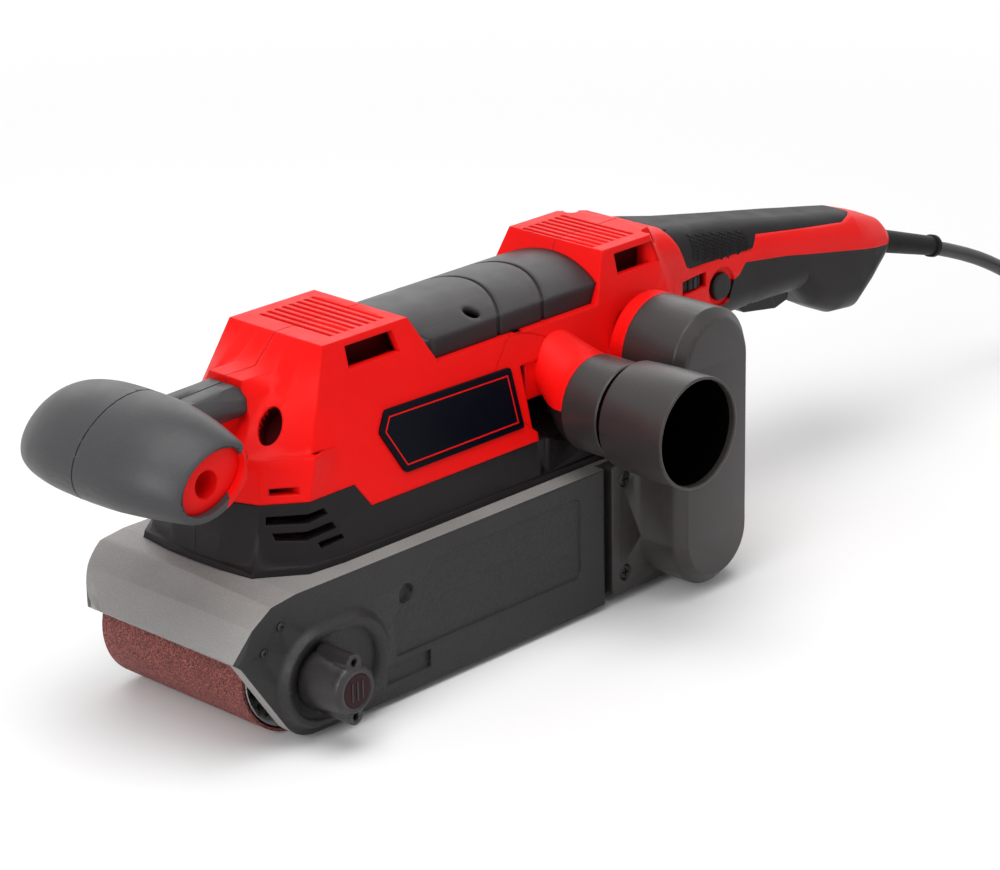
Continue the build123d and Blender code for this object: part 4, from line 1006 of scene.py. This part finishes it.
@dataclass
class MotorHousing(Assembly):
    """Red clam-shell housing with its top cover and name plate.

    Sizes are in millimetres where they don't say MM.  The rings of a screw well's cup are a
    share of its oval, then a depth.
    """

    seam: float = 0.1 * MM
    base_tops: tuple[float, ...] = (73.0 * MM, 82.0 * MM)
    screws: tuple[Point, ...] = ((-14.5, -20.0, 118.0), (-14.5, 20.0, 118.0))
    wall: SideWall = SideWall(24.2)
    plate: Outline = ((-22.2, 102.2), (-23.3, 79.8), (38.0, 79.8), (46.5, 96.0), (41.8, 103.1))
    plate_lifts: tuple[float, float] = (-0.3, 0.9)
    plate_corner: float = 1.2
    line_inset: float = 2.3
    line_width: float = 0.55
    line_lifts: tuple[float, float] = (0.85, 0.97)
    wells: Point = (86.5, 20.0, 107.4)
    well_facing: Point = (0.70, 0.36, 0.62)
    well_across: Point = (-0.45, 0.89, 0.0)
    well_oval: tuple[float, float] = (4.2, 7.4)
    well_rings: Outline = ((0.01, -12.0), (1.2, -12.0), (1.2, -3.2), (1.0, -3.2), (0.97, -11.0),
                           (0.01, -11.0))
    windows: tuple[tuple[str, Outline], ...] = (("front", box(27.0, 55.0, 115.0, 128.2)),
                                                ("rear", box(-112.0, -86.0, 115.0, 128.2)))
    window_y: tuple[float, float] = (17.0, 17.8)
    slots: Outline = box(67.0, 97.0, 61.5, 81.0)
    slots_y: float = 0.5

    def name_plate(self) -> None:
        """The bare plate and the thin red line that follows its edge."""
        edge = softened(self.plate, self.plate_corner)
        plate = slab([self.wall.ring(edge, lift) for lift in self.plate_lifts])
        self.stand_in(finished("name_plate", plate, Finish.PLATE, 30), "label_plate")
        outer = inset(self.plate, self.line_inset)
        inner = inset(outer, self.line_width)
        low, high = self.line_lifts
        line = slab([self.wall.ring(outer, low), self.wall.ring(outer, high),
                     self.wall.ring(inner, high), self.wall.ring(inner, low)], closed=False)
        self.add_on(finished("name_plate_line", line, Finish.RED, 20), "label_plate")

    def well_cups(self) -> None:
        """Closed oval cups in painted shade behind the screw wells of the front facets."""
        for side, name in SIDES:
            flip = Vector((1.0, side, 1.0))
            facing = (Vector(self.well_facing) * flip).normalized()
            across = (Vector(self.well_across) * flip).normalized()
            across = (across - facing * across.dot(facing)).normalized()
            upright = facing.cross(across)
            centre = Vector(self.wells) * flip
            rings = []
            for share, depth in self.well_rings:
                middle = centre + facing * depth
                rings.append([tuple((middle + across * a + upright * b) * MM) for a, b in oval(
                    (0.0, 0.0), self.well_oval[0] * share, self.well_oval[1] * share)])
            self.add_on(finished(f"screw_well_{name}", slab(rings), Finish.SHADED_RED, 40),
                        "housing_" + name)

    def window_backs(self) -> None:
        """Unlit walls behind the humps' air windows and between the base's slots."""
        near, far = self.window_y
        for end, outline in self.windows:
            for side, name in SIDES:
                back = prism(outline, side * near, side * far)
                self.add_on(finished(f"window_back_{end}_{name}", back, Finish.SHADED_RED, 20),
                            "housing_" + name)
        wall = prism(self.slots, -self.slots_y, self.slots_y)
        self.add_on(finished("slot_back", wall, Finish.DARK, 20), "base_left")

    def build(self) -> None:
        """Dress the shells."""
        self.skin(Finish.RED, "housing_left", "housing_right", crease=20, gap=self.seam)
        for base in self.skin(Finish.BASE, "base_left", "base_right", crease=20, gap=self.seam):
            for level in self.base_tops:
                parted(base.data, 2, level, -2 * self.seam)
        self.skin(Finish.COVER, "top_cover", crease=24)
        self.name_plate()
        self.well_cups()
        self.window_backs()
        screws = Screw().grow(screw_tree(), "top_cover_screw_set", self.screws)
        self.stand_in(finished("top_cover_screw_set", screws, Finish.BLACKED, 40), "top_cover_screws")


@dataclass
class BeltUnit(Assembly):
    """Cast frame with the belt, its rollers, the platen and the belt release.

    The screws and the knob are in millimetres; the knob's face is (y, radius) pairs.
    """

    flange_screw: Screw = Screw(3.1, 1.5, 1.7, 2.95)
    flange_seats: tuple[Point, ...] = ((-65.5, 48.0, 50.0), (-65.5, 48.0, 12.0))
    cheek_screw: Screw = Screw(1.6, 0.9, 1.0, 3.5)
    cheek_seats: tuple[Point, ...] = ((111.65, 50.0, 47.8), (119.75, 50.0, 40.5))
    knob_axis: tuple[float, float] = (95.24, 24.2)
    knob_face: Outline = ((69.5, 0.0), (70.0, 0.0), (70.0, 6.05), (69.75, 6.3), (69.5, 6.3))
    line_pitch: float = 2.4
    line_size: Point = (7.0, 0.55, 0.5)
    line_slant: float = 90.0
    lines_from: float = 75.0
    lit_tilt: float = 0.3
    lit_reach: float = 49.4 * MM
    lit_low: float = 44.0 * MM
    lit_nose_from: float = 100.0 * MM

    def build(self) -> None:
        """Dress the frame and what it carries."""
        # the casting gets the painted-shade copy of its paint, then its hood's top and nose get the
        # painted-lit copy
        cast = self.skin(Finish.CHEEK, "sander_frame", crease=24)[0]
        repainted(cast, Finish.HOOD, self.is_painted_lit)
        self.skin(Finish.ABRASIVE, "sanding_belt")
        self.dress(Finish.STEEL, "platen", "front_roller_axle", "lever_pin", "tension_spring",
                   "drive_roller_shaft", "front_roller_bearings", "drive_roller_bearings")
        self.dress(Finish.GRAPHITE, "graphite_pad")
        self.skin(Finish.STEEL, "front_roller")
        self.skin(Finish.ROLLER_RUBBER, "drive_roller")
        self.dress(Finish.BLACKED, "tension_fork", "tracking_cam")
        self.skin(Finish.BLACKED, "tension_lever")
        self.screws()
        self.knob()

    def is_painted_lit(self, face: bpy.types.MeshPolygon) -> bool:
        """Tell the hood's top and its nose, which get the painted-lit copy of the casting's paint, from
        the rest of the casting.

        Args:
            face: a face of the casting.

        Returns:
            True for a face of the hood.
        """
        middle, facing = face.center, face.normal
        top = middle.z > self.lit_low and facing.z > self.lit_tilt
        nose = middle.x > self.lit_nose_from and facing.x > self.lit_tilt and abs(facing.y) < self.lit_tilt
        return middle.y < self.lit_reach and (top or nose)

    def screws(self) -> None:
        """Two screws on the drive cover's flange and two small ones on the cheek."""
        tree, sideways = screw_tree(), (0.0, 1.0, 0.0)
        large = self.flange_screw.grow(tree, "flange_screws", self.flange_seats, sideways)
        small = self.cheek_screw.grow(tree, "cheek_screws", self.cheek_seats, sideways)
        with edited(large) as work:
            work.from_mesh(small)
        self.stand_in(finished("frame_screw_set", large, Finish.BLACKED, 40), "frame_screws")

    def knob(self) -> None:
        """Tracking knob with a dark face that carries three raised lines."""
        self.skin(Finish.KNOB, "tracking_knob", crease=28)
        disc = finished("knob_face", spun(self.knob_face, self.knob_axis), Finish.KNOB_FACE, 30)
        self.add_on(disc, "tracking_knob")
        x, z = self.knob_axis
        starts = at([(x + k * self.line_pitch, z) for k in (-1, 0, 1)], self.lines_from)
        lines = ribs(rib_tree(Finish.KNOB), "knob_lines", starts, disc, self.line_size, self.line_slant)
        self.add_on(finished("knob_lines", lines, Finish.KNOB, 30), "tracking_knob")


@dataclass
class BeltDrive(Assembly):
    """Drive cover with the ribbed belt and its pulleys."""

    def build(self) -> None:
        """Dress the drive."""
        self.skin(Finish.PORT, "drive_cover", crease=24)
        self.dress(Finish.ROLLER_RUBBER, "ribbed_belt")
        self.dress(Finish.STEEL, "large_pulley", "small_pulley", "cross_shaft", "cross_shaft_bearings")


@dataclass
class DustPort(Assembly):
    """Red elbow in its recess, and the charcoal hose adapter.

    Sizes are in millimetres.  Elbow rings are (Y, centre X, centre Z, radius); the adapter, the
    painted shade in its bore and the painted shade in its groove are (y, radius) pairs.
    """

    axis: tuple[float, float] = (-51.0, 84.5)
    elbow: tuple[tuple[float, float, float, float], ...] = (
        (28.9, -49.0, 96.4, 12.8), (31.5, -49.2, 95.4, 13.0), (35.5, -49.8, 92.3, 14.2),
        (39.5, -50.6, 88.6, 16.0), (43.5, -51.0, 85.4, 17.7), (47.4, -51.0, 84.5, 18.1))
    elbow_wall: float = 2.2
    elbow_steps: int = 5
    elbow_sides: int = 72
    adapter_sides: int = 128
    parting_z: float = 85.6
    adapter: Outline = (
        (46.3, 15.2), (47.5, 15.2), (47.5, 18.1), (47.9, 18.5), (64.4, 18.5), (64.8, 18.1),
        (67.6, 18.1), (67.6, 19.8), (68.2, 20.4), (74.0, 20.8), (84.0, 21.2), (90.0, 21.3),
        (98.0, 21.3), (98.4, 21.1), (98.5, 20.8), (98.4, 20.2), (98.0, 20.0), (84.0, 19.9),
        (76.0, 19.0), (69.0, 19.0), (69.0, 13.6), (46.3, 13.6))
    groove: Outline = ((64.8, 18.0), (67.65, 18.0), (67.65, 18.2), (64.8, 18.2))
    lining: Outline = (
        (49.0, 13.3), (69.3, 13.3), (69.3, 18.8), (76.0, 18.8), (84.0, 19.7), (96.0, 19.8),
        (96.0, 19.93), (84.0, 19.87), (76.0, 18.97), (69.05, 18.97), (69.05, 13.55), (49.0, 13.55))
    wall: SideWall = SideWall(24.18)
    patch: Outline = ((-8.0, 73.4), (-27.8, 73.4), (-27.8, 101.0), (-72.0, 101.0), (-72.0, 112.3),
                      (-8.0, 112.3))
    patch_thickness: float = 2.2
    panel: Outline = box(-66.0, -31.2, 86.5, 101.4)
    panel_y: tuple[float, float] = (29.4, 30.9)
    ledge: Outline = box(-30.0, -8.0, 110.4, 112.4)
    ledge_y: tuple[float, float] = (20.0, 28.9)
    back_centre: tuple[float, float] = (-34.5, 93.0)
    back_halves: tuple[float, float] = (20.0, 17.0)
    back_y: tuple[float, float] = (28.1, 28.6)

    def elbow_mesh(self) -> bpy.types.Mesh:
        """Make the hollow neck that widens from the wall to the adapter.

        Returns:
            The mesh.
        """
        rows = smoothed(self.elbow, self.elbow_steps)
        rings = []
        for inward, run in ((0.0, rows), (self.elbow_wall, rows[::-1])):
            for y, x, z, radius in run:
                rings.append(at(oval((x, z), radius - inward, radius - inward, self.elbow_sides), y))
        return slab(rings, closed=False)

    def recess(self) -> None:
        """Wall round the elbow's root, the panel behind it and the unlit back."""
        wall = slab([self.wall.ring(self.patch, lift) for lift in (0.0, -self.patch_thickness)])
        back = prism(oval(self.back_centre, *self.back_halves), *self.back_y)
        for name, mesh, finish in (("port_wall", wall, Finish.RED),
                                   ("port_panel", prism(self.panel, *self.panel_y), Finish.RED),
                                   ("port_ledge", prism(self.ledge, *self.ledge_y), Finish.RED),
                                   ("port_back", back, Finish.DARK)):
            self.add_on(finished(name, mesh, finish, 20), "dust_elbow")

    def build(self) -> None:
        """Make the port."""
        mesh = self.elbow_mesh()
        level = self.parting_z * MM
        bisected(mesh, [((0.0, 0.0, level), (0.0, 0.0, 1.0))])
        neck = finished("dust_neck", mesh, Finish.RED, 40)
        repainted(neck, Finish.BASE, lambda face: face.center.z < level)
        self.stand_in(neck, "dust_elbow")
        self.recess()
        sleeve = spun(self.adapter, self.axis, self.adapter_sides)
        self.stand_in(finished("hose_adapter", sleeve, Finish.PORT, 32), "dust_adapter")
        # thin unlit shells in the adapter's bore and at the bottom of its groove: painted shade
        for name, profile in (("lining", self.lining), ("groove", self.groove)):
            self.add_on(finished("hose_adapter_" + name, spun(profile, self.axis), Finish.DARK, 32),
                        "dust_adapter")


@dataclass
class FrontHandle(Assembly):
    """Soft-skinned cross handle in front of the housing.

    Sizes are in millimetres where they don't say MM.  A ring is its distance from the seam,
    then its shares of the bow and of the section.
    """

    middle: tuple[float, float] = (135.6, 108.5)
    bow: tuple[float, float] = (-5.3, -4.9)
    section: tuple[float, float] = (23.8, 16.0)
    tilt: float = -25.2
    rings: tuple[Point, ...] = (
        (0.0, 0.0, 1.0), (14.1, 0.02, 0.984), (21.1, 0.075, 0.952), (28.2, 0.22, 0.90),
        (33.0, 0.40, 0.85), (37.0, 0.61, 0.80), (40.0, 0.815, 0.756), (41.6, 0.94, 0.715),
        (42.3, 1.0, 0.655))
    slices: tuple[float, ...] = (4.0, 8.0, 11.5, 16.0, 18.5, 23.5, 26.0, 30.0, 31.5, 34.5, 36.0, 38.0,
                                 39.0, 40.5, 41.1, 41.9, 42.1)
    sectors: int = 32
    outer_from: float = 0.955
    outer_to: float = 1.03
    seam: float = 0.3 * MM
    flank_at: Point = (117.5, 41.0, 113.0)
    flank_facing: Point = (-0.854, 0.367, -0.369)
    flank_from: float = 24.0 * MM

    def ring(self, y: float, smooth: bool) -> tuple[float, float, float, float]:
        """Centre and half axes of the barrel's oval at a distance from the seam, in metres.

        Args:
            y: distance from the seam.
            smooth: True for one smooth curve through the rings, False for straight runs.

        Returns:
            X and Z of the centre, then the long and the short half axis.
        """
        rings = [self.rings[1]] + list(self.rings) + [self.rings[-1]]
        rings[0] = (-rings[0][0], *rings[0][1:])
        k = max(1, min(len(rings) - 3, sum(1 for ring in self.rings if ring[0] * MM <= y)))
        before, low, high, after = rings[k - 1:k + 3]
        step = high[0] - low[0]
        t = (y / MM - low[0]) / step
        values = []
        for i in (1, 2):
            if smooth:
                first = (high[i] - before[i]) / max(high[0] - before[0], 1e-9) * step
                last = (after[i] - low[i]) / max(after[0] - low[0], 1e-9) * step
                values.append((2 * t**3 - 3 * t**2 + 1) * low[i] + (t**3 - 2 * t**2 + t) * first
                              + (3 * t**2 - 2 * t**3) * high[i] + (t**3 - t**2) * last)
            else:
                values.append(low[i] + t * (high[i] - low[i]))
        bow, share = values
        return ((self.middle[0] + self.bow[0] * bow) * MM, (self.middle[1] + self.bow[1] * bow) * MM,
                self.section[0] * share * MM, self.section[1] * share * MM)

    def smooth(self, mesh: bpy.types.Mesh, side: int) -> None:
        """Cut a grip half finely and move it onto the barrel's smooth curve.

        Args:
            mesh: the half, changed in place.
            side: 1 for the left half, -1 for the right.
        """
        middle = (self.middle[0] * MM, 0.0, self.middle[1] * MM)
        cuts = [((0.0, side * y * MM, 0.0), (0.0, 1.0, 0.0)) for y in self.slices]
        for i in range(self.sectors):
            angle = math.pi * (i + 0.5) / self.sectors
            cuts.append((middle, (math.sin(angle), 0.0, math.cos(angle))))
        bisected(mesh, cuts)
        tilt = math.radians(self.tilt)
        c, s = math.cos(tilt), math.sin(tilt)
        with edited(mesh) as work:
            for vertex in work.verts:
                reach = min(abs(vertex.co.y), self.rings[-1][0] * MM)
                x0, z0, long0, short0 = self.ring(reach, False)
                x1, z1, long1, short1 = self.ring(reach, True)
                x, z = vertex.co.x - x0, vertex.co.z - z0
                a, b = (x * c + z * s) / long0, (z * c - x * s) / short0
                far = math.hypot(a, b)
                if far > self.outer_to:
                    continue
                if self.outer_from < far < 1.0:
                    a, b = a / far, b / far
                a, b = a * long1, b * short1
                vertex.co.x, vertex.co.z = x1 + a * c - b * s, z1 + a * s + b * c

    def build(self) -> None:
        """Dress the handle."""
        for sign, side in SIDES:
            node = "front_grip_" + side
            mesh = welded(self.nodes[node], node + "_shell")
            self.smooth(mesh, sign)
            parted(mesh, 1, 0.0, sign * self.seam)
            flip = Vector((1.0, sign, 1.0))
            place, facing = Vector(self.flank_at) * flip * MM, Vector(self.flank_facing) * flip
            bisected(mesh, [(place, facing)])
            skin = finished(mesh.name, mesh, Finish.GRIP, 36)
            repainted(skin, Finish.RED, lambda face: abs(face.center.y) > self.flank_from
                      and (face.center - place).dot(facing) > 0)
            self.stand_in(skin, node)


@dataclass
class RearHandle(Assembly):
    """Rear handle with its trigger, lock button, speed dial and switch.

    Sizes are in millimetres where they don't say MM.
    """

    seam: float = 0.1 * MM
    panel_x: tuple[float, float] = (-177.0, -141.0)
    panel_z: tuple[float, float] = (109.5, 121.0)
    pitch_x: float = 2.6
    pitch_z: float = 1.5
    fall: float = 0.19
    slant: float = 0.75
    rib_size: Point = (2.9, 0.6, 0.45)
    ribs_from: float = 40.0

    def build(self) -> None:
        """Dress the handle and controls."""
        self.skin(Finish.BASE, "handle_shell_left", "handle_shell_right", crease=28, gap=self.seam)
        grip = self.skin(Finish.RUBBER, "rear_grip", crease=28)[0]
        self.skin(Finish.BUTTON, "trigger", "lock_button", "speed_dial", crease=28)
        self.dress(Finish.STEEL, "trigger_pin", "trigger_spring")
        self.dress(Finish.BUTTON, "switch_module")
        self.grip_ribs(grip)

    def grip_ribs(self, grip: bpy.types.Object) -> None:
        """Lay herringbone ribs in the panel of the grip.

        Args:
            grip: the dressed grip.
        """
        tree = rib_tree(Finish.RUBBER)
        (rear, front), (low, high) = self.panel_x, self.panel_z
        rows = int((high - low) / self.pitch_z)
        columns = int((front - rear) / self.pitch_x)
        for kind, slant in enumerate((self.slant, -self.slant)):
            starts = []
            for column in range(kind, columns + 1, 2):
                back = column * self.pitch_x
                top = high - back * self.fall
                starts += [(front - back, top - row * self.pitch_z) for row in range(rows)]
            mesh = ribs(tree, f"grip_ribs_{kind + 1}", at(starts, self.ribs_from), grip, self.rib_size,
                        slant)
            self.add_on(finished(mesh.name, mesh, Finish.RUBBER, 30), "rear_grip")


@dataclass
class Motor(Assembly):
    """Universal motor and its bevel drive."""

    def build(self) -> None:
        """Dress the motor."""
        self.dress(Finish.LAMINATED, "stator_core", "armature_core")
        self.dress(Finish.COPPER, "field_windings", "armature_winding", "commutator")
        self.dress(Finish.STEEL, "armature_shaft", "motor_bearings", "bevel_gear", "bevel_pinion")
        self.dress(Finish.BRASS, "brush_holders")
        self.dress(Finish.CARBON, "carbon_brushes")
        self.dress(Finish.BUTTON, "cooling_fan")


# ------------------------------------------------------------------ studio
@dataclass
class Studio:
    """Pale floor, soft lamps and the camera.

    A lamp is its name, its place, its size and its power in watts.
    """

    stand: Point = (0.82528, 0.85293, 0.52063)
    swing: float = 44.29
    height: float = 20.66
    roll: float = -1.06
    lens: float = 122.93
    sensor: float = 36.0
    view_depth: float = 20.0
    lamps: tuple[tuple[str, Point, Point, float], ...] = (
        ("top", (0.3, 0.25, 1.7), (1.4, 1.4, 0.0), 21.0),
        ("front", (1.7, 0.45, 0.8), (1.0, 1.0, 0.0), 14.0),
        ("rear", (-1.5, -1.35, 1.15), (2.6, 1.4, 0.0), 13.0),
    )
    world: float = 0.42
    paper: float = 0.93
    floor_reach: float = 6.0
    clear_from: float = 0.42
    clear_to: float = 0.95

    def camera(self) -> None:
        """Stand the camera at the viewing angle."""
        swing, height, roll = (math.radians(a) for a in (self.swing, self.height, self.roll))
        back = Vector((math.cos(swing) * math.cos(height), math.sin(swing) * math.cos(height),
                       math.sin(height)))
        right = Vector((-math.sin(swing), math.cos(swing), 0.0))
        up = back.cross(right)
        side = math.cos(roll) * right + math.sin(roll) * up
        top = -math.sin(roll) * right + math.cos(roll) * up
        data = bpy.data.cameras.new("view")
        data.sensor_width = self.sensor
        data.lens = self.lens
        data.clip_end = self.view_depth
        eye = bpy.data.objects.new("view", data)
        turn = Matrix((side, top, back)).transposed().to_4x4()
        eye.matrix_world = Matrix.Translation(self.stand) @ turn
        bpy.context.scene.collection.objects.link(eye)
        bpy.context.scene.camera = eye

    def floor(self) -> None:
        """Lay a wide floor that is white to the camera and keeps the shadow."""
        mesh = bpy.data.meshes.new("floor")
        reach = self.floor_reach
        mesh.from_pydata([(x, y, 0.0) for x, y in box(-reach, reach, -reach, reach)], [], [(0, 1, 2, 3)])
        graph = Surface("floor_paper")
        graph.wear((self.paper, self.paper, self.paper), 0.9, None)
        graph.shader.inputs["Specular IOR Level"].default_value = 0.0
        apart = graph.add("VectorMath", {0: graph.place}, operation="LENGTH").outputs["Value"]
        share = graph.times(graph.between(apart, self.clear_from, self.clear_to), self.seen(graph))
        glow = graph.add("Emission", {"Color": (1.0, 1.0, 1.0, 1.0), "Strength": 1.0}).outputs[0]
        mixed = graph.add("MixShader", {0: share, 1: graph.shader.outputs[0], 2: glow}).outputs[0]
        graph.links.new(mixed, graph.output.inputs["Surface"])
        mesh.materials.append(graph.material)
        floor = bpy.data.objects.new("floor", mesh)
        bpy.context.scene.collection.objects.link(floor)

    @staticmethod
    def seen(graph: Graph) -> Socket:
        """Tell rays that see a background: from the camera, off gloss and through glass.

        Args:
            graph: the tree that asks.

        Returns:
            1 for such a ray, and 0 for the others.
        """
        path = graph.add("LightPath", {}).outputs
        either = graph.calculate("MAXIMUM", path["Is Camera Ray"], path["Is Glossy Ray"])
        return graph.calculate("MAXIMUM", either, path["Is Transmission Ray"])

    def light(self) -> None:
        """Hang the lamps and set the world."""
        scene = bpy.context.scene
        for name, place, size, power in self.lamps:
            data = bpy.data.lights.new(name, "AREA")
            data.shape = "RECTANGLE"
            data.size, data.size_y = size[0], size[1]
            data.energy = power
            lamp = bpy.data.objects.new(name, data)
            lamp.location = place
            lamp.rotation_euler = (-Vector(place)).to_track_quat("-Z", "Y").to_euler()
            scene.collection.objects.link(lamp)
        world = bpy.data.worlds.new("studio")
        world.use_nodes = True
        graph = Graph(world.node_tree)
        strength = graph.between(self.seen(graph), 0.0, 1.0, self.world, 1.0)
        background = world.node_tree.nodes["Background"]
        background.inputs["Color"].default_value = (1.0, 1.0, 1.0, 1.0)
        graph.links.new(strength, background.inputs["Strength"])
        scene.world = world
        scene.view_settings.view_transform = "Standard"

    def build(self) -> None:
        """Set up everything that isn't the machine."""
        self.camera()
        self.floor()
        self.light()


def main() -> None:
    """Load the frame, build each sub-assembly in order and report its pieces."""
    logging.basicConfig(level=logging.INFO, format="%(message)s")
    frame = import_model()
    Studio().build()
    for assembly in (MainsLead, MotorHousing, BeltUnit, BeltDrive, DustPort, FrontHandle, RearHandle,
                     Motor):
        assembly(frame).build()
        LOG.info("%s is done", assembly.__name__)


if __name__ == "__main__":
    main()
